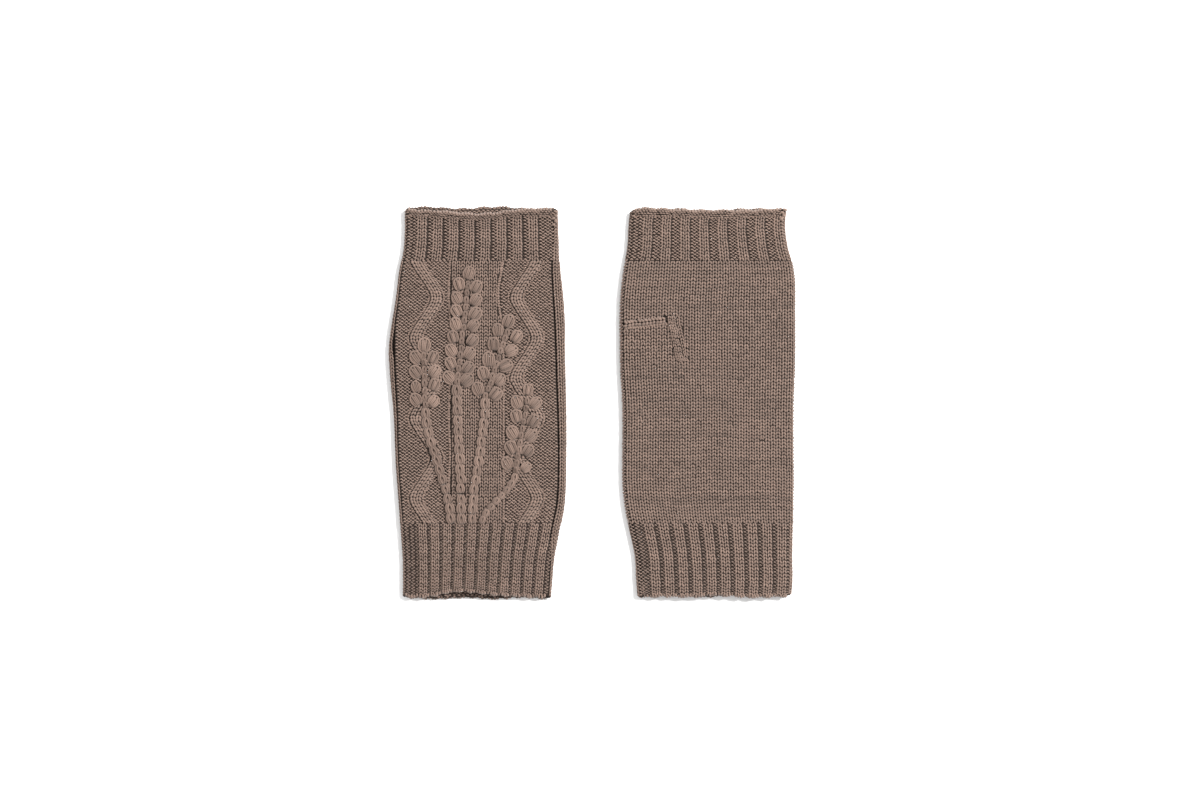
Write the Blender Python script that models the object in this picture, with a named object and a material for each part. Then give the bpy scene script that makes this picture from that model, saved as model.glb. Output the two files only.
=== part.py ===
"""A pair of knitted fingerless gloves, laid flat side by side, fingers away along +Y.

The right glove lies at -X with the back of the hand up, the left one at +X with its
palm up. Each is a flattened tube of two knitted panels, with a thumb opening in the
palm. Sizes are in millimetres until the meshes are made.
"""

import math
from collections import namedtuple

import bmesh
import bpy

MM = 0.001

# Driving dimensions
LENGTH = 200.0
WALL = 1.9
LAYER_GAP = 0.5
SEAM_GAP = 0.3
WRIST_CUFF = 38.5
FINGER_CUFF = 27.5
THICKNESS = 2 * WALL + LAYER_GAP
FOLD_RADIUS = THICKNESS / 2

# The outline of a glove at a distance from the wrist edge: left and right are its
# folded edges, left_seam and right_seam the seams between back and palm, all measured
# from the glove's own centre line. The left glove's right_seam is on its underside.
Station = namedtuple("Station", "along left right left_seam right_seam")
# The crest of the first knitted rib, the spacing, and the share that is raised
Ribs = namedtuple("Ribs", "first pitch count knit_share")
# A hollow in an edge
Dip = namedtuple("Dip", "centre half_width depth")
Glove = namedtuple(
    "Glove", "name centre stations wrist_ribs finger_ribs wrist_dip finger_dip"
)

RIGHT = Glove(
    name="right_glove",
    centre=-58.1,
    stations=(
        Station(0, -38.9, 37.4, -37.9, 36.3),
        Station(20, -39.0, 39.2, -37.8, 36.9),
        Station(33, -39.9, 41.7, -38.4, 37.2),
        Station(48, -40.9, 44.5, -39.4, 40.2),
        Station(68, -42.4, 45.3, -40.9, 41.2),
        Station(95, -43.6, 45.4, -41.6, 40.8),
        Station(112, -45.2, 45.0, -42.4, 40.2),
        Station(127, -46.0, 44.7, -42.9, 39.8),
        Station(140, -44.6, 44.7, -42.6, 39.3),
        Station(153, -42.4, 43.9, -41.1, 38.6),
        Station(168, -40.6, 42.4, -39.4, 37.8),
        Station(176, -38.9, 41.7, -37.7, 38.0),
        Station(184, -38.1, 41.4, -37.1, 38.4),
        Station(200, -37.9, 40.9, -37.0, 38.6),
    ),
    wrist_ribs=Ribs(first=-27.9, pitch=6.01, count=11, knit_share=0.7),
    finger_ribs=Ribs(first=-28.8, pitch=8.12, count=8, knit_share=0.62),
    wrist_dip=Dip(centre=-6.0, half_width=24.0, depth=2.6),
    finger_dip=Dip(centre=-2.5, half_width=24.0, depth=2.6),
)
LEFT = Glove(
    name="left_glove",
    centre=59.2,
    stations=(
        Station(0, -36.2, 42.9, -33.1, 35.0),
        Station(10, -36.9, 43.7, -34.2, 36.0),
        Station(22, -37.7, 43.6, -35.5, 36.5),
        Station(34, -40.2, 43.8, -38.0, 36.8),
        Station(46, -42.7, 43.9, -40.6, 36.9),
        Station(60, -44.1, 44.1, -42.0, 37.0),
        Station(96, -44.1, 44.0, -42.0, 37.0),
        Station(120, -45.3, 44.8, -43.2, 37.8),
        Station(150, -45.4, 44.9, -43.3, 37.9),
        Station(163, -44.3, 44.8, -42.2, 37.8),
        Station(171, -43.0, 43.6, -41.1, 36.6),
        Station(180, -41.4, 41.2, -39.6, 34.2),
        Station(190, -40.8, 39.9, -39.2, 32.9),
        Station(200, -39.9, 40.6, -38.6, 33.6),
    ),
    wrist_ribs=Ribs(first=-27.3, pitch=7.21, count=10, knit_share=0.68),
    finger_ribs=Ribs(first=-31.1, pitch=9.59, count=8, knit_share=0.52),
    wrist_dip=Dip(centre=2.0, half_width=30.0, depth=0.8),
    finger_dip=Dip(centre=7.0, half_width=24.0, depth=1.2),
)

# Raised knitting, as heights over the wall
RIB_HEIGHT = 0.9
EDGE_BAND = 3.6
EDGE_BAND_HEIGHT = 0.45
ZIGZAG_HEIGHT = 0.7
COLUMN_HEIGHT = 0.45
STEM_HEIGHT = 1.2
LEAF_HEIGHT = 1.6
MOUTH_LIFT = 1.2
MOUTH_DEPTH = 14.0

# The zigzag bands, mirrored about the middle of the back
BACK_MIDDLE = -1.0
ZIGZAG_REACH = 25.6
ZIGZAG_SWING = 5.4
ZIGZAG_PERIOD = 41.0
ZIGZAG_INNER_PEAK = 71.8
BAND_HALF_WIDTH = 3.0

# The plain column up the middle of the back
COLUMN_LEFT = -13.8
COLUMN_RIGHT = 12.3
COLUMN_WAIST = Dip(centre=155.0, half_width=22.0, depth=2.2)

# Leafy sprigs: a stem rises from the wrist cuff at root, and its ear of paired leaves
# runs from ear_x, ear_along to tip_x, tip_along.
Sprig = namedtuple("Sprig", "root ear_x ear_along tip_x tip_along pairs")
SPRIGS = (
    Sprig(root=-14.0, ear_x=-26.8, ear_along=97.5, tip_x=-27.6, tip_along=126.8, pairs=4),
    Sprig(root=-8.5, ear_x=-10.8, ear_along=108.8, tip_x=-4.6, tip_along=162.8, pairs=8),
    Sprig(root=-3.0, ear_x=3.4, ear_along=102.0, tip_x=15.8, tip_along=139.0, pairs=5),
    Sprig(root=2.0, ear_x=19.0, ear_along=63.8, tip_x=25.4, tip_along=104.0, pairs=5),
)
STEM_HALF_WIDTH = 2.4
EAR_STEM_HALF_WIDTH = 1.5
LEAF_LENGTH = 8.2
LEAF_WIDTH = 6.4
LEAF_REACH = 4.6
LEAF_LEAN = math.radians(32)

# The thumb opening, in the palm: a gusset below a bound upper edge
THUMB_LOW = 121.5
THUMB_HIGH_LEFT = 142.6
THUMB_HIGH_RIGHT = 144.8
THUMB_TOP_X = -17.0
THUMB_FOOT_X = -12.2
THUMB_SLIT = 0.7
THUMB_BAND = 3.0
THUMB_ROLL = 4.0
THUMB_ROLL_HEIGHT = 0.8

# Spacing of the mesh
HAND_ROW = 1.65
HAND_COLUMN = 1.45
PLAIN_ROW = 6.0
PLAIN_COLUMN = 5.0
INNER_ROW = 10.0
INNER_COLUMN = 14.0
FOLD_STEP = math.radians(36)
INNER_FOLD_STEP = math.radians(60)

TAUPE = (0.208, 0.150, 0.124, 1.0)


def clear_scene():
    for obj in list(bpy.data.objects):
        bpy.data.objects.remove(obj)


def wool(name):
    material = bpy.data.materials.new(name)
    material.use_nodes = True
    shader = material.node_tree.nodes["Principled BSDF"]
    shader.inputs["Base Color"].default_value = TAUPE
    shader.inputs["Roughness"].default_value = 0.9
    shader.inputs["Metallic"].default_value = 0.0
    return material


def swell(x, centre, half_width):
    """A smooth hump, 1 at its centre and 0 from half_width out."""
    reach = abs(x - centre) / half_width
    return math.cos(reach * math.pi / 2) ** 2 if reach < 1 else 0.0


def ease(t):
    """Rises smoothly from 0 to 1 as t does."""
    t = min(max(t, 0.0), 1.0)
    return t * t * (3 - 2 * t)


def station_at(glove, along):
    """The outline on a smooth curve through the rows of the glove's table."""
    rows = glove.stations
    i = next((k for k in range(1, len(rows) - 1) if rows[k].along >= along), len(rows) - 1)
    low, high = rows[i - 1], rows[i]
    before, after = rows[max(i - 2, 0)], rows[min(i + 1, len(rows) - 1)]
    span = high.along - low.along
    t = (along - low.along) / span

    def curve(field):
        a, b = getattr(low, field), getattr(high, field)
        slope_a = (b - getattr(before, field)) / (high.along - before.along) * span
        slope_b = (getattr(after, field) - a) / (after.along - low.along) * span
        return (
            a * (2 * t**3 - 3 * t**2 + 1)
            + slope_a * (t**3 - 2 * t**2 + t)
            + b * (3 * t**2 - 2 * t**3)
            + slope_b * (t**3 - t**2)
        )

    return Station(along, *(curve(field) for field in Station._fields[1:]))


def girth_on_top(station, x):
    """Distance round the section from its leftmost point, over the top, to x."""
    quarter = FOLD_RADIUS * math.pi / 2
    left, right = station.left + FOLD_RADIUS, station.right - FOLD_RADIUS
    if x < left:
        return FOLD_RADIUS * math.acos(min((left - x) / FOLD_RADIUS, 1))
    if x > right:
        return quarter + right - left + FOLD_RADIUS * math.asin((x - right) / FOLD_RADIUS)
    return quarter + x - left


def girth_underneath(station, x):
    """The same distance on past the right fold to x on the underside's flat part."""
    right = station.right - FOLD_RADIUS
    return girth_on_top(station, right) + math.pi * FOLD_RADIUS + right - x


def full_girth(station):
    flat = station.right - station.left - 2 * FOLD_RADIUS
    return 2 * flat + 2 * math.pi * FOLD_RADIUS


def section_point(station, girth, out):
    """x and z at a distance round the section, moved out along its normal."""
    girth %= full_girth(station)
    quarter = FOLD_RADIUS * math.pi / 2
    left, right = station.left + FOLD_RADIUS, station.right - FOLD_RADIUS
    flat = right - left
    if girth < quarter:
        angle, centre = math.pi - girth / FOLD_RADIUS, left
    elif girth < quarter + flat:
        return left + girth - quarter, THICKNESS + out
    elif girth < 3 * quarter + flat:
        angle, centre = math.pi / 2 - (girth - quarter - flat) / FOLD_RADIUS, right
    elif girth < 3 * quarter + 2 * flat:
        return right - (girth - 3 * quarter - flat), -out
    else:
        angle, centre = -math.pi / 2 - (girth - 3 * quarter - 2 * flat) / FOLD_RADIUS, left
    radius = FOLD_RADIUS + out
    return centre + radius * math.cos(angle), FOLD_RADIUS + radius * math.sin(angle)


def place(glove, along, girth, relief=None, depth=0.0):
    """A point of the glove in metres: on its outside plus relief, or depth under it."""
    station = station_at(glove, along)
    x, z = section_point(station, girth, 0.0)
    on_top = min(max((z - FOLD_RADIUS) / FOLD_RADIUS, 0.0), 1.0)
    out = relief(glove, x, along) * ease(on_top) if relief and on_top else 0.0
    x, z = section_point(station, girth, out - depth)
    middle = (station.left + station.right) / 2
    arch = on_top * swell(x, middle, (station.right - station.left) / 2)
    finger = ease((along - LENGTH + MOUTH_DEPTH) / MOUTH_DEPTH)
    wrist = ease((MOUTH_DEPTH - along) / MOUTH_DEPTH)
    z += MOUTH_LIFT * arch * (finger + wrist)
    dips = glove.finger_dip, glove.wrist_dip
    down, up = (on_top * dip.depth * swell(x, dip.centre, dip.half_width) for dip in dips)
    along += up * wrist - down * finger
    return ((x + glove.centre) * MM, (along - LENGTH / 2) * MM, z * MM)


def rib_x(glove, along, cuff_middle, x):
    """Where a rib that is at x in the middle of its cuff has moved to."""
    middle, here = station_at(glove, cuff_middle), station_at(glove, along)
    share = (x - middle.left) / (middle.right - middle.left)
    return here.left + share * (here.right - here.left)


def rib_relief(glove, ribs, x, along, cuff_middle):
    middle, here = station_at(glove, cuff_middle), station_at(glove, along)
    share = (x - here.left) / (here.right - here.left)
    x = middle.left + share * (middle.right - middle.left)
    place_in_row = (x - ribs.first) / ribs.pitch
    nearest = min(max(round(place_in_row), 0), ribs.count - 1)
    from_crest = abs(place_in_row - nearest)
    edge = ribs.knit_share / 2
    return RIB_HEIGHT * ease((edge + 0.1 - from_crest) / 0.2)


def cuff_relief(glove, x, along):
    """Ribs up the two cuffs and the cast-off band along the finger edge."""
    if along < WRIST_CUFF:
        rounded = ease(along / 1.2 + 0.2)
        return rounded * rib_relief(glove, glove.wrist_ribs, x, along, WRIST_CUFF / 2)
    start = LENGTH - FINGER_CUFF
    if along <= start:
        return 0.0
    if along > LENGTH - EDGE_BAND:
        return EDGE_BAND_HEIGHT * ease((LENGTH - along) / 1.2 + 0.2)
    return rib_relief(glove, glove.finger_ribs, x, along, (start + LENGTH) / 2)


def zigzag_x(along):
    """How far the middle of a zigzag band lies from the middle of the back."""
    turn = (along - ZIGZAG_INNER_PEAK) / ZIGZAG_PERIOD
    wave = math.asin(0.88 * math.cos(2 * math.pi * turn)) / math.asin(0.88)
    return ZIGZAG_REACH - ZIGZAG_SWING * wave


def stem_point(sprig, t):
    """A point of a sprig's middle line: root at t = 0, foot of the ear at 1, tip at 2."""
    if t > 1:
        x = sprig.ear_x + (t - 1) * (sprig.tip_x - sprig.ear_x)
        return x, sprig.ear_along + (t - 1) * (sprig.tip_along - sprig.ear_along)
    x = sprig.root + ease(t) * (sprig.ear_x - sprig.root)
    return x, WRIST_CUFF + t * (sprig.ear_along - WRIST_CUFF)


def leaves_of(sprig):
    """The middle and the lean of each leaf: opposite pairs up the ear, one on its tip."""
    rise = sprig.tip_along - sprig.ear_along
    heading = math.atan2(sprig.tip_x - sprig.ear_x, rise)
    leaves = []
    for i in range(sprig.pairs):
        x, along = stem_point(sprig, 1 + (i + 0.5) / sprig.pairs)
        for side in (-1, 1):
            off_x = side * LEAF_REACH * math.cos(heading)
            off_along = -side * LEAF_REACH * math.sin(heading)
            leaves.append((x + off_x, along + off_along, heading + side * LEAF_LEAN))
    x, along = stem_point(sprig, 2)
    leaves.append((x, along + 0.35 * LEAF_LENGTH, heading))
    return leaves


def stem_of(sprig, steps=100):
    """Points up a sprig's stem, each with half the stem's width there."""
    points = []
    for i in range(steps + 1):
        t = 2 * i / steps
        half_width = STEM_HALF_WIDTH if t < 1 else EAR_STEM_HALF_WIDTH
        points.append((*stem_point(sprig, t), half_width))
    return points


STEMS = [point for sprig in SPRIGS for point in stem_of(sprig)]
LEAVES = [leaf for sprig in SPRIGS for leaf in leaves_of(sprig)]


def leaf_relief(x, along):
    height = 0.0
    for leaf_x, leaf_along, lean in LEAVES:
        dx, dy = x - leaf_x, along - leaf_along
        across = dx * math.cos(lean) - dy * math.sin(lean)
        up = dx * math.sin(lean) + dy * math.cos(lean)
        inside = 1 - (2 * across / LEAF_WIDTH) ** 2 - (2 * up / LEAF_LENGTH) ** 2
        if inside > 0:
            height = max(height, LEAF_HEIGHT * math.sqrt(inside))
    return height


def stem_relief(x, along):
    height = 0.0
    for stem_x, stem_along, half_width in STEMS:
        inside = 1 - ((x - stem_x) ** 2 + (along - stem_along) ** 2) / half_width**2
        if inside > 0:
            height = max(height, STEM_HEIGHT * math.sqrt(inside))
    return height


def back_relief(glove, x, along):
    """The patterned back: zigzags, the plain column, stems and leaves."""
    if along <= WRIST_CUFF or along >= LENGTH - FINGER_CUFF:
        return cuff_relief(glove, x, along)
    from_band = abs(abs(x - BACK_MIDDLE) - zigzag_x(along))
    height = ZIGZAG_HEIGHT * ease((BAND_HALF_WIDTH + 0.7 - from_band) / 1.4)
    waist = COLUMN_WAIST.depth * swell(along, COLUMN_WAIST.centre, COLUMN_WAIST.half_width)
    inside = min(x - COLUMN_LEFT, COLUMN_RIGHT - waist - x)
    height = max(height, COLUMN_HEIGHT * ease(inside / 1.4 + 0.5))
    raised = max(leaf_relief(x, along), stem_relief(x, along))
    return max(height, COLUMN_HEIGHT / 2 + raised) if raised else height


def spread(start, end, step):
    """Evenly spaced numbers from start to end, about step apart."""
    count = max(1, round((end - start) / step))
    return [start + (end - start) * i / count for i in range(count + 1)]


def cuff_alongs():
    """Rows of the two cuffs, closer where the edges round over."""
    wrist = [0.0, 1.0] + spread(8.0, WRIST_CUFF - 1.5, 7.5)
    start = LENGTH - FINGER_CUFF
    finger = spread(start + 1.5, LENGTH - EDGE_BAND - 0.8, 7.5)
    finger += [LENGTH - EDGE_BAND + 0.2, LENGTH - 1.0, LENGTH]
    return wrist, finger


def rib_columns(glove, along, start, end):
    """Girths at the two shoulders and the two feet of each rib, between two seams."""
    wrist = along <= WRIST_CUFF
    ribs = glove.wrist_ribs if wrist else glove.finger_ribs
    cuff_middle = WRIST_CUFF / 2 if wrist else LENGTH - FINGER_CUFF / 2
    station = station_at(glove, along)
    columns = []
    for i in range(ribs.count):
        for step in (-0.1, 0.1):
            for side in (-1, 1):
                reach = ribs.knit_share / 2 - side * step
                x = ribs.first + (i + side * reach) * ribs.pitch
                x = rib_x(glove, along, cuff_middle, x)
                columns.append(girth_on_top(station, min(x, station.right - 1e-3)))
    columns = sorted(g for g in columns if start + 0.5 < g < end - 0.5)
    return [start] + columns


def fold_columns(start, end, step):
    """Girths round a fold, ends left out."""
    return spread(start, end, step * FOLD_RADIUS)[1:-1]


def sew(mesh, low, high):
    """Fills between two rows of corners that may differ in number."""

    def shares(row):
        lengths = [0.0]
        for a, b in zip(row, row[1:]):
            lengths.append(lengths[-1] + (a.co - b.co).length)
        return [length / lengths[-1] for length in lengths]

    at_low, at_high = shares(low), shares(high)
    if len(low) == len(high):
        for i in range(len(low) - 1):
            mesh.faces.new((low[i], low[i + 1], high[i + 1], high[i]))
        return
    i = j = 0
    while i < len(low) - 1 or j < len(high) - 1:
        if j == len(high) - 1 or (i < len(low) - 1 and at_low[i + 1] < at_high[j + 1]):
            mesh.faces.new((low[i], low[i + 1], high[j]))
            i += 1
        else:
            mesh.faces.new((low[i], high[j + 1], high[j]))
            j += 1


def wall(name, outer, inner, material):
    """A closed wall between its outer and inner rows of points."""
    mesh = bmesh.new()
    outside = [[mesh.verts.new(point) for point in row] for row in outer]
    inside = [[mesh.verts.new(point) for point in row] for row in inner]
    for low, high in zip(outside, outside[1:]):
        sew(mesh, low, high)
    for low, high in zip(inside, inside[1:]):
        sew(mesh, low[::-1], high[::-1])
    sew(mesh, inside[0], outside[0])
    sew(mesh, outside[-1], inside[-1])
    sew(mesh, [row[0] for row in outside], [row[0] for row in inside])
    sew(mesh, [row[-1] for row in inside], [row[-1] for row in outside])
    data = bpy.data.meshes.new(name)
    mesh.to_mesh(data)
    mesh.free()
    data.materials.append(material)
    data.shade_smooth()
    data.set_sharp_from_angle(angle=math.radians(50))
    obj = bpy.data.objects.new(name, data)
    bpy.context.collection.objects.link(obj)
    return obj


def top_edges(glove, along, under):
    """Girths of the two seams on the upper side, outside and inside the wall.

    The inner edges stay clear of the folds, where the inside is too tight for them.
    """
    station = station_at(glove, along)
    clear = FOLD_RADIUS + 0.2
    left = girth_on_top(station, station.left_seam)
    inner_left = girth_on_top(station, max(station.left_seam, station.left + clear))
    if under:
        right = inner_right = girth_underneath(station, station.right_seam)
        return left, right, inner_left, inner_right
    right = girth_on_top(station, station.right_seam)
    inner_right = girth_on_top(station, min(station.right_seam, station.right - clear))
    return left, right, inner_left, inner_right


def inner_rows(glove, edges, flats):
    """Rows of a panel's plain inside."""
    rows = []
    alongs = [0.0, MOUTH_DEPTH / 2]
    alongs += spread(MOUTH_DEPTH, LENGTH - MOUTH_DEPTH, INNER_ROW)
    alongs += [LENGTH - MOUTH_DEPTH / 2, LENGTH]
    for along in alongs:
        start, end = edges(along)
        columns = [start]
        stops = [g for g in flats(along) if start + 0.5 < g < end - 0.5] + [end]
        for stop in stops:
            gap = stop - columns[-1]
            fold = abs(gap - math.pi * FOLD_RADIUS) < 1e-6
            step = INNER_FOLD_STEP * FOLD_RADIUS if fold else INNER_COLUMN
            columns += spread(columns[-1], stop, step)[1:]
        rows.append([place(glove, along, girth, depth=WALL) for girth in columns])
    return rows


def fold_stops(glove, along):
    """Girths where the folds begin and end, once round and a little more."""
    station = station_at(glove, along)
    quarter = FOLD_RADIUS * math.pi / 2
    flat = station.right - station.left - 2 * FOLD_RADIUS
    once = (quarter, quarter + flat, 3 * quarter + flat, 3 * quarter + 2 * flat)
    return list(once) + [full_girth(station) + quarter]


def right_back(material):
    """The patterned back of the right glove, which lies uppermost."""
    glove = RIGHT
    wrist, finger = cuff_alongs()
    hand = spread(WRIST_CUFF + 0.6, LENGTH - FINGER_CUFF - 0.6, HAND_ROW)
    rows = []
    for along in wrist + hand + finger:
        start, end, _, _ = top_edges(glove, along, under=False)
        if along in hand:
            columns = spread(start, end, HAND_COLUMN)
        else:
            columns = rib_columns(glove, along, start, end) + [end]
        rows.append([place(glove, along, g, back_relief) for g in columns])

    def inner_edges(along):
        return top_edges(glove, along, under=False)[2:]

    inner = inner_rows(glove, inner_edges, lambda along: fold_stops(glove, along))
    return wall("right_glove_back", rows, inner, material)


def right_palm(material):
    """The right glove's palm: the underside, both folds and the edges they bring up."""
    glove = RIGHT

    def edges(along, inside):
        left, right, inner_left, inner_right = top_edges(glove, along, under=False)
        once = full_girth(station_at(glove, along))
        if inside:
            return inner_right + SEAM_GAP, once + inner_left - SEAM_GAP
        return right + SEAM_GAP, once + left - SEAM_GAP

    rows = []
    for along in spread(0.0, LENGTH, PLAIN_ROW * 2 / 3):
        start, end = edges(along, inside=False)
        stops = [g for g in fold_stops(glove, along)[1:] if g < end - 0.5]
        columns = [start]
        for stop, step in zip(stops, (2.2, FOLD_STEP * FOLD_RADIUS, INNER_COLUMN)):
            columns += spread(columns[-1], stop, step)[1:]
        columns += spread(columns[-1], end, FOLD_STEP * FOLD_RADIUS)[1:]
        rows.append([place(glove, along, g) for g in columns])
    inner = inner_rows(
        glove, lambda along: edges(along, True), lambda along: fold_stops(glove, along)
    )
    return wall("right_glove_palm", rows, inner, material)


def left_palm(material):
    """The left glove's palm, uppermost: it runs round the right fold to a seam below."""
    glove = LEFT
    wrist, finger = cuff_alongs()
    hand = spread(WRIST_CUFF + 0.6, LENGTH - FINGER_CUFF - 0.6, PLAIN_ROW)
    rows = []
    for along in wrist + hand + finger:
        start, end, _, _ = top_edges(glove, along, under=True)
        start += SEAM_GAP
        _, fold_start, fold_end, _, _ = fold_stops(glove, along)
        if along in hand:
            columns = spread(start, fold_start, PLAIN_COLUMN)
        else:
            columns = rib_columns(glove, along, start, fold_start) + [fold_start]
        columns += fold_columns(fold_start, fold_end, FOLD_STEP) + [fold_end, end]
        rows.append([place(glove, along, g, cuff_relief) for g in columns])

    def inner_edges(along):
        _, _, start, end = top_edges(glove, along, under=True)
        return start + SEAM_GAP, end

    inner = inner_rows(glove, inner_edges, lambda along: fold_stops(glove, along))
    return wall("left_glove_palm", rows, inner, material)


def left_back(material):
    """The left glove's back: its underside and the left fold."""
    glove = LEFT

    def edges(along, inside):
        left, right, inner_left, _ = top_edges(glove, along, under=True)
        once = full_girth(station_at(glove, along))
        return right + SEAM_GAP, once + (inner_left if inside else left)

    rows = []
    for along in spread(0.0, LENGTH, PLAIN_ROW * 2 / 3):
        start, end = edges(along, inside=False)
        fold_start = fold_stops(glove, along)[3]
        columns = spread(start, fold_start, INNER_COLUMN)
        columns += spread(fold_start, end, FOLD_STEP * FOLD_RADIUS)[1:]
        rows.append([place(glove, along, g) for g in columns])
    inner = inner_rows(
        glove, lambda along: edges(along, True), lambda along: fold_stops(glove, along)
    )
    return wall("left_glove_back", rows, inner, material)


def thumb_high(x):
    """The upper edge of the thumb opening, which slants up towards the palm."""
    share = (x - LEFT.stations[0].left) / (THUMB_TOP_X - LEFT.stations[0].left)
    return THUMB_HIGH_LEFT + share * (THUMB_HIGH_RIGHT - THUMB_HIGH_LEFT)


def thumb_right(along):
    """The slanting right edge of the thumb opening."""
    share = (THUMB_HIGH_RIGHT - along) / (THUMB_HIGH_RIGHT - THUMB_LOW)
    return THUMB_TOP_X + share * (THUMB_FOOT_X - THUMB_TOP_X)


def thumb_cutter(glove, left, bottom, top):
    """A prism of the thumb opening's outline, for cutting it through a panel."""
    outline = [
        (left, THUMB_LOW),
        (THUMB_FOOT_X, THUMB_LOW),
        (THUMB_TOP_X, THUMB_HIGH_RIGHT),
        (left, thumb_high(left)),
    ]
    mesh = bmesh.new()
    corners = [
        mesh.verts.new(((x + glove.centre) * MM, (y - LENGTH / 2) * MM, bottom * MM))
        for x, y in outline
    ]
    base = mesh.faces.new(corners[::-1])
    raised = bmesh.ops.extrude_face_region(mesh, geom=[base])["geom"]
    moved = [item for item in raised if isinstance(item, bmesh.types.BMVert)]
    bmesh.ops.translate(mesh, verts=moved, vec=(0, 0, (top - bottom) * MM))
    bmesh.ops.recalc_face_normals(mesh, faces=mesh.faces)
    data = bpy.data.meshes.new(glove.name + "_thumb_cutter")
    mesh.to_mesh(data)
    mesh.free()
    cutter = bpy.data.objects.new(data.name, data)
    bpy.context.collection.objects.link(cutter)
    cutter.hide_render = True
    cutter.display_type = "WIRE"
    return cutter


def cut(obj, cutter):
    opening = obj.modifiers.new("thumb_opening", "BOOLEAN")
    opening.operation = "DIFFERENCE"
    opening.solver = "EXACT"
    opening.object = cutter


def patch(name, glove, grid, top, bottom, material):
    """A closed piece over a grid of x and along, between two heights."""

    def rows(height):
        return [
            [
                ((x + glove.centre) * MM, (y - LENGTH / 2) * MM, height(x, y) * MM)
                for x, y in row
            ]
            for row in grid
        ]

    return wall(name, rows(top), rows(bottom), material)


def thumb_grid(left, low, high, across, up):
    """x and along over a piece in the thumb opening, between two edges given at x."""
    grid = []
    for row in range(up + 1):
        cells = []
        for column in range(across + 1):
            share = column / across
            x = left + share * (THUMB_TOP_X - left)
            along = low(x) + row / up * (high(x) - low(x))
            x = left + share * (thumb_right(along) - SEAM_GAP - left)
            cells.append((x, along))
        grid.append(cells)
    return grid


def thumb_piece(name, glove, grid, roll, uppermost, material):
    """A piece of the thumb: flat where it is the underside, rolled where it is seen."""
    if uppermost:
        return patch(
            name,
            glove,
            grid,
            lambda x, along: THICKNESS + THUMB_ROLL_HEIGHT * roll(x, along),
            lambda x, along: THICKNESS - WALL,
            material,
        )
    return patch(
        name, glove, grid, lambda x, along: WALL, lambda x, along: 0.0, material
    )


def half_wave(t):
    return math.sin(math.pi * min(max(t, 0.0), 1.0))


def slit_edge(x):
    """The upper side of the slit that the thumb comes through."""
    return thumb_high(x) - SEAM_GAP - THUMB_BAND


def gusset(glove, left, uppermost, material):
    """The thumb's own piece, with a rolled slanting seam and a lip at the opening."""

    def high(x):
        return slit_edge(x) - THUMB_SLIT

    def roll(x, along):
        nearest = min(thumb_right(along) - SEAM_GAP - x, high(x) - along)
        return half_wave(nearest / THUMB_ROLL)

    grid = thumb_grid(left, lambda x: THUMB_LOW + SEAM_GAP, high, across=14, up=10)
    return thumb_piece(glove.name + "_thumb_gusset", glove, grid, roll, uppermost, material)


def thumb_band(glove, left, uppermost, material):
    """The bound upper edge of the thumb opening."""

    def roll(x, along):
        return half_wave((along - slit_edge(x)) / THUMB_BAND)

    grid = thumb_grid(left, slit_edge, lambda x: slit_edge(x) + THUMB_BAND, 8, 4)
    return thumb_piece(glove.name + "_thumb_band", glove, grid, roll, uppermost, material)


def build():
    clear_scene()
    right_back(wool("right_back_wool"))
    palm = right_palm(wool("right_palm_wool"))
    inset = station_at(RIGHT, THUMB_LOW).left + FOLD_RADIUS + 1.6
    middle = THICKNESS / 2
    cut(palm, thumb_cutter(RIGHT, inset, -1.0, middle))
    gusset(RIGHT, inset + SEAM_GAP, False, wool("right_gusset_wool"))
    thumb_band(RIGHT, inset + SEAM_GAP, False, wool("right_band_wool"))

    left_back(wool("left_back_wool"))
    palm = left_palm(wool("left_palm_wool"))
    seam = station_at(LEFT, (THUMB_LOW + THUMB_HIGH_LEFT) / 2).left_seam
    cut(palm, thumb_cutter(LEFT, seam - 1.0, middle, THICKNESS + 3.0))
    gusset(LEFT, seam + 2 * SEAM_GAP, True, wool("left_gusset_wool"))
    thumb_band(LEFT, seam + 2 * SEAM_GAP, True, wool("left_band_wool"))


build()
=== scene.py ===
import math
from collections import namedtuple

import bpy
import numpy as np
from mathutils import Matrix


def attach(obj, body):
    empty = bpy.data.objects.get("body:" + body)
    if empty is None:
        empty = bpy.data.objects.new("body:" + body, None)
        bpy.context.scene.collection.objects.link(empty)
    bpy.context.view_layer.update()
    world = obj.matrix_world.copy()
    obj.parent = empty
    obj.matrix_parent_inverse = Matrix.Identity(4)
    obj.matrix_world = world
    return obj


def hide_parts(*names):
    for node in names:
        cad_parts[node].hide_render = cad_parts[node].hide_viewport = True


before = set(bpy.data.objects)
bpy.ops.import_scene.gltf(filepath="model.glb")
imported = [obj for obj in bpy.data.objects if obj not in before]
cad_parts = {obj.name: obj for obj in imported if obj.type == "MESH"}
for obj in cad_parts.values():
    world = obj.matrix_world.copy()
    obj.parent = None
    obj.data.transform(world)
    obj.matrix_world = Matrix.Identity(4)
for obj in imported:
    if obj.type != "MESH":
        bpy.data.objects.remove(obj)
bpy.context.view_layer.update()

# Sizes are in millimetres until the meshes are made. The outlines, ribs and pattern
# are those of the CAD part. x is measured from a glove's own centre line, along from
# its wrist edge, girth round its section from the left fold over the top, and out from
# the wall's outer face.
MM = 0.001
LENGTH = 200.0
WALL = 1.9
THICKNESS = 4.3
FOLD_RADIUS = THICKNESS / 2
QUARTER = FOLD_RADIUS * math.pi / 2
WRIST_CUFF = 38.5
FINGER_CUFF = 27.5
HAND_END = LENGTH - FINGER_CUFF
WRIST_MIDDLE = WRIST_CUFF / 2
FINGER_MIDDLE = LENGTH - FINGER_CUFF / 2
SEAM_GAP = 0.3

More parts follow.
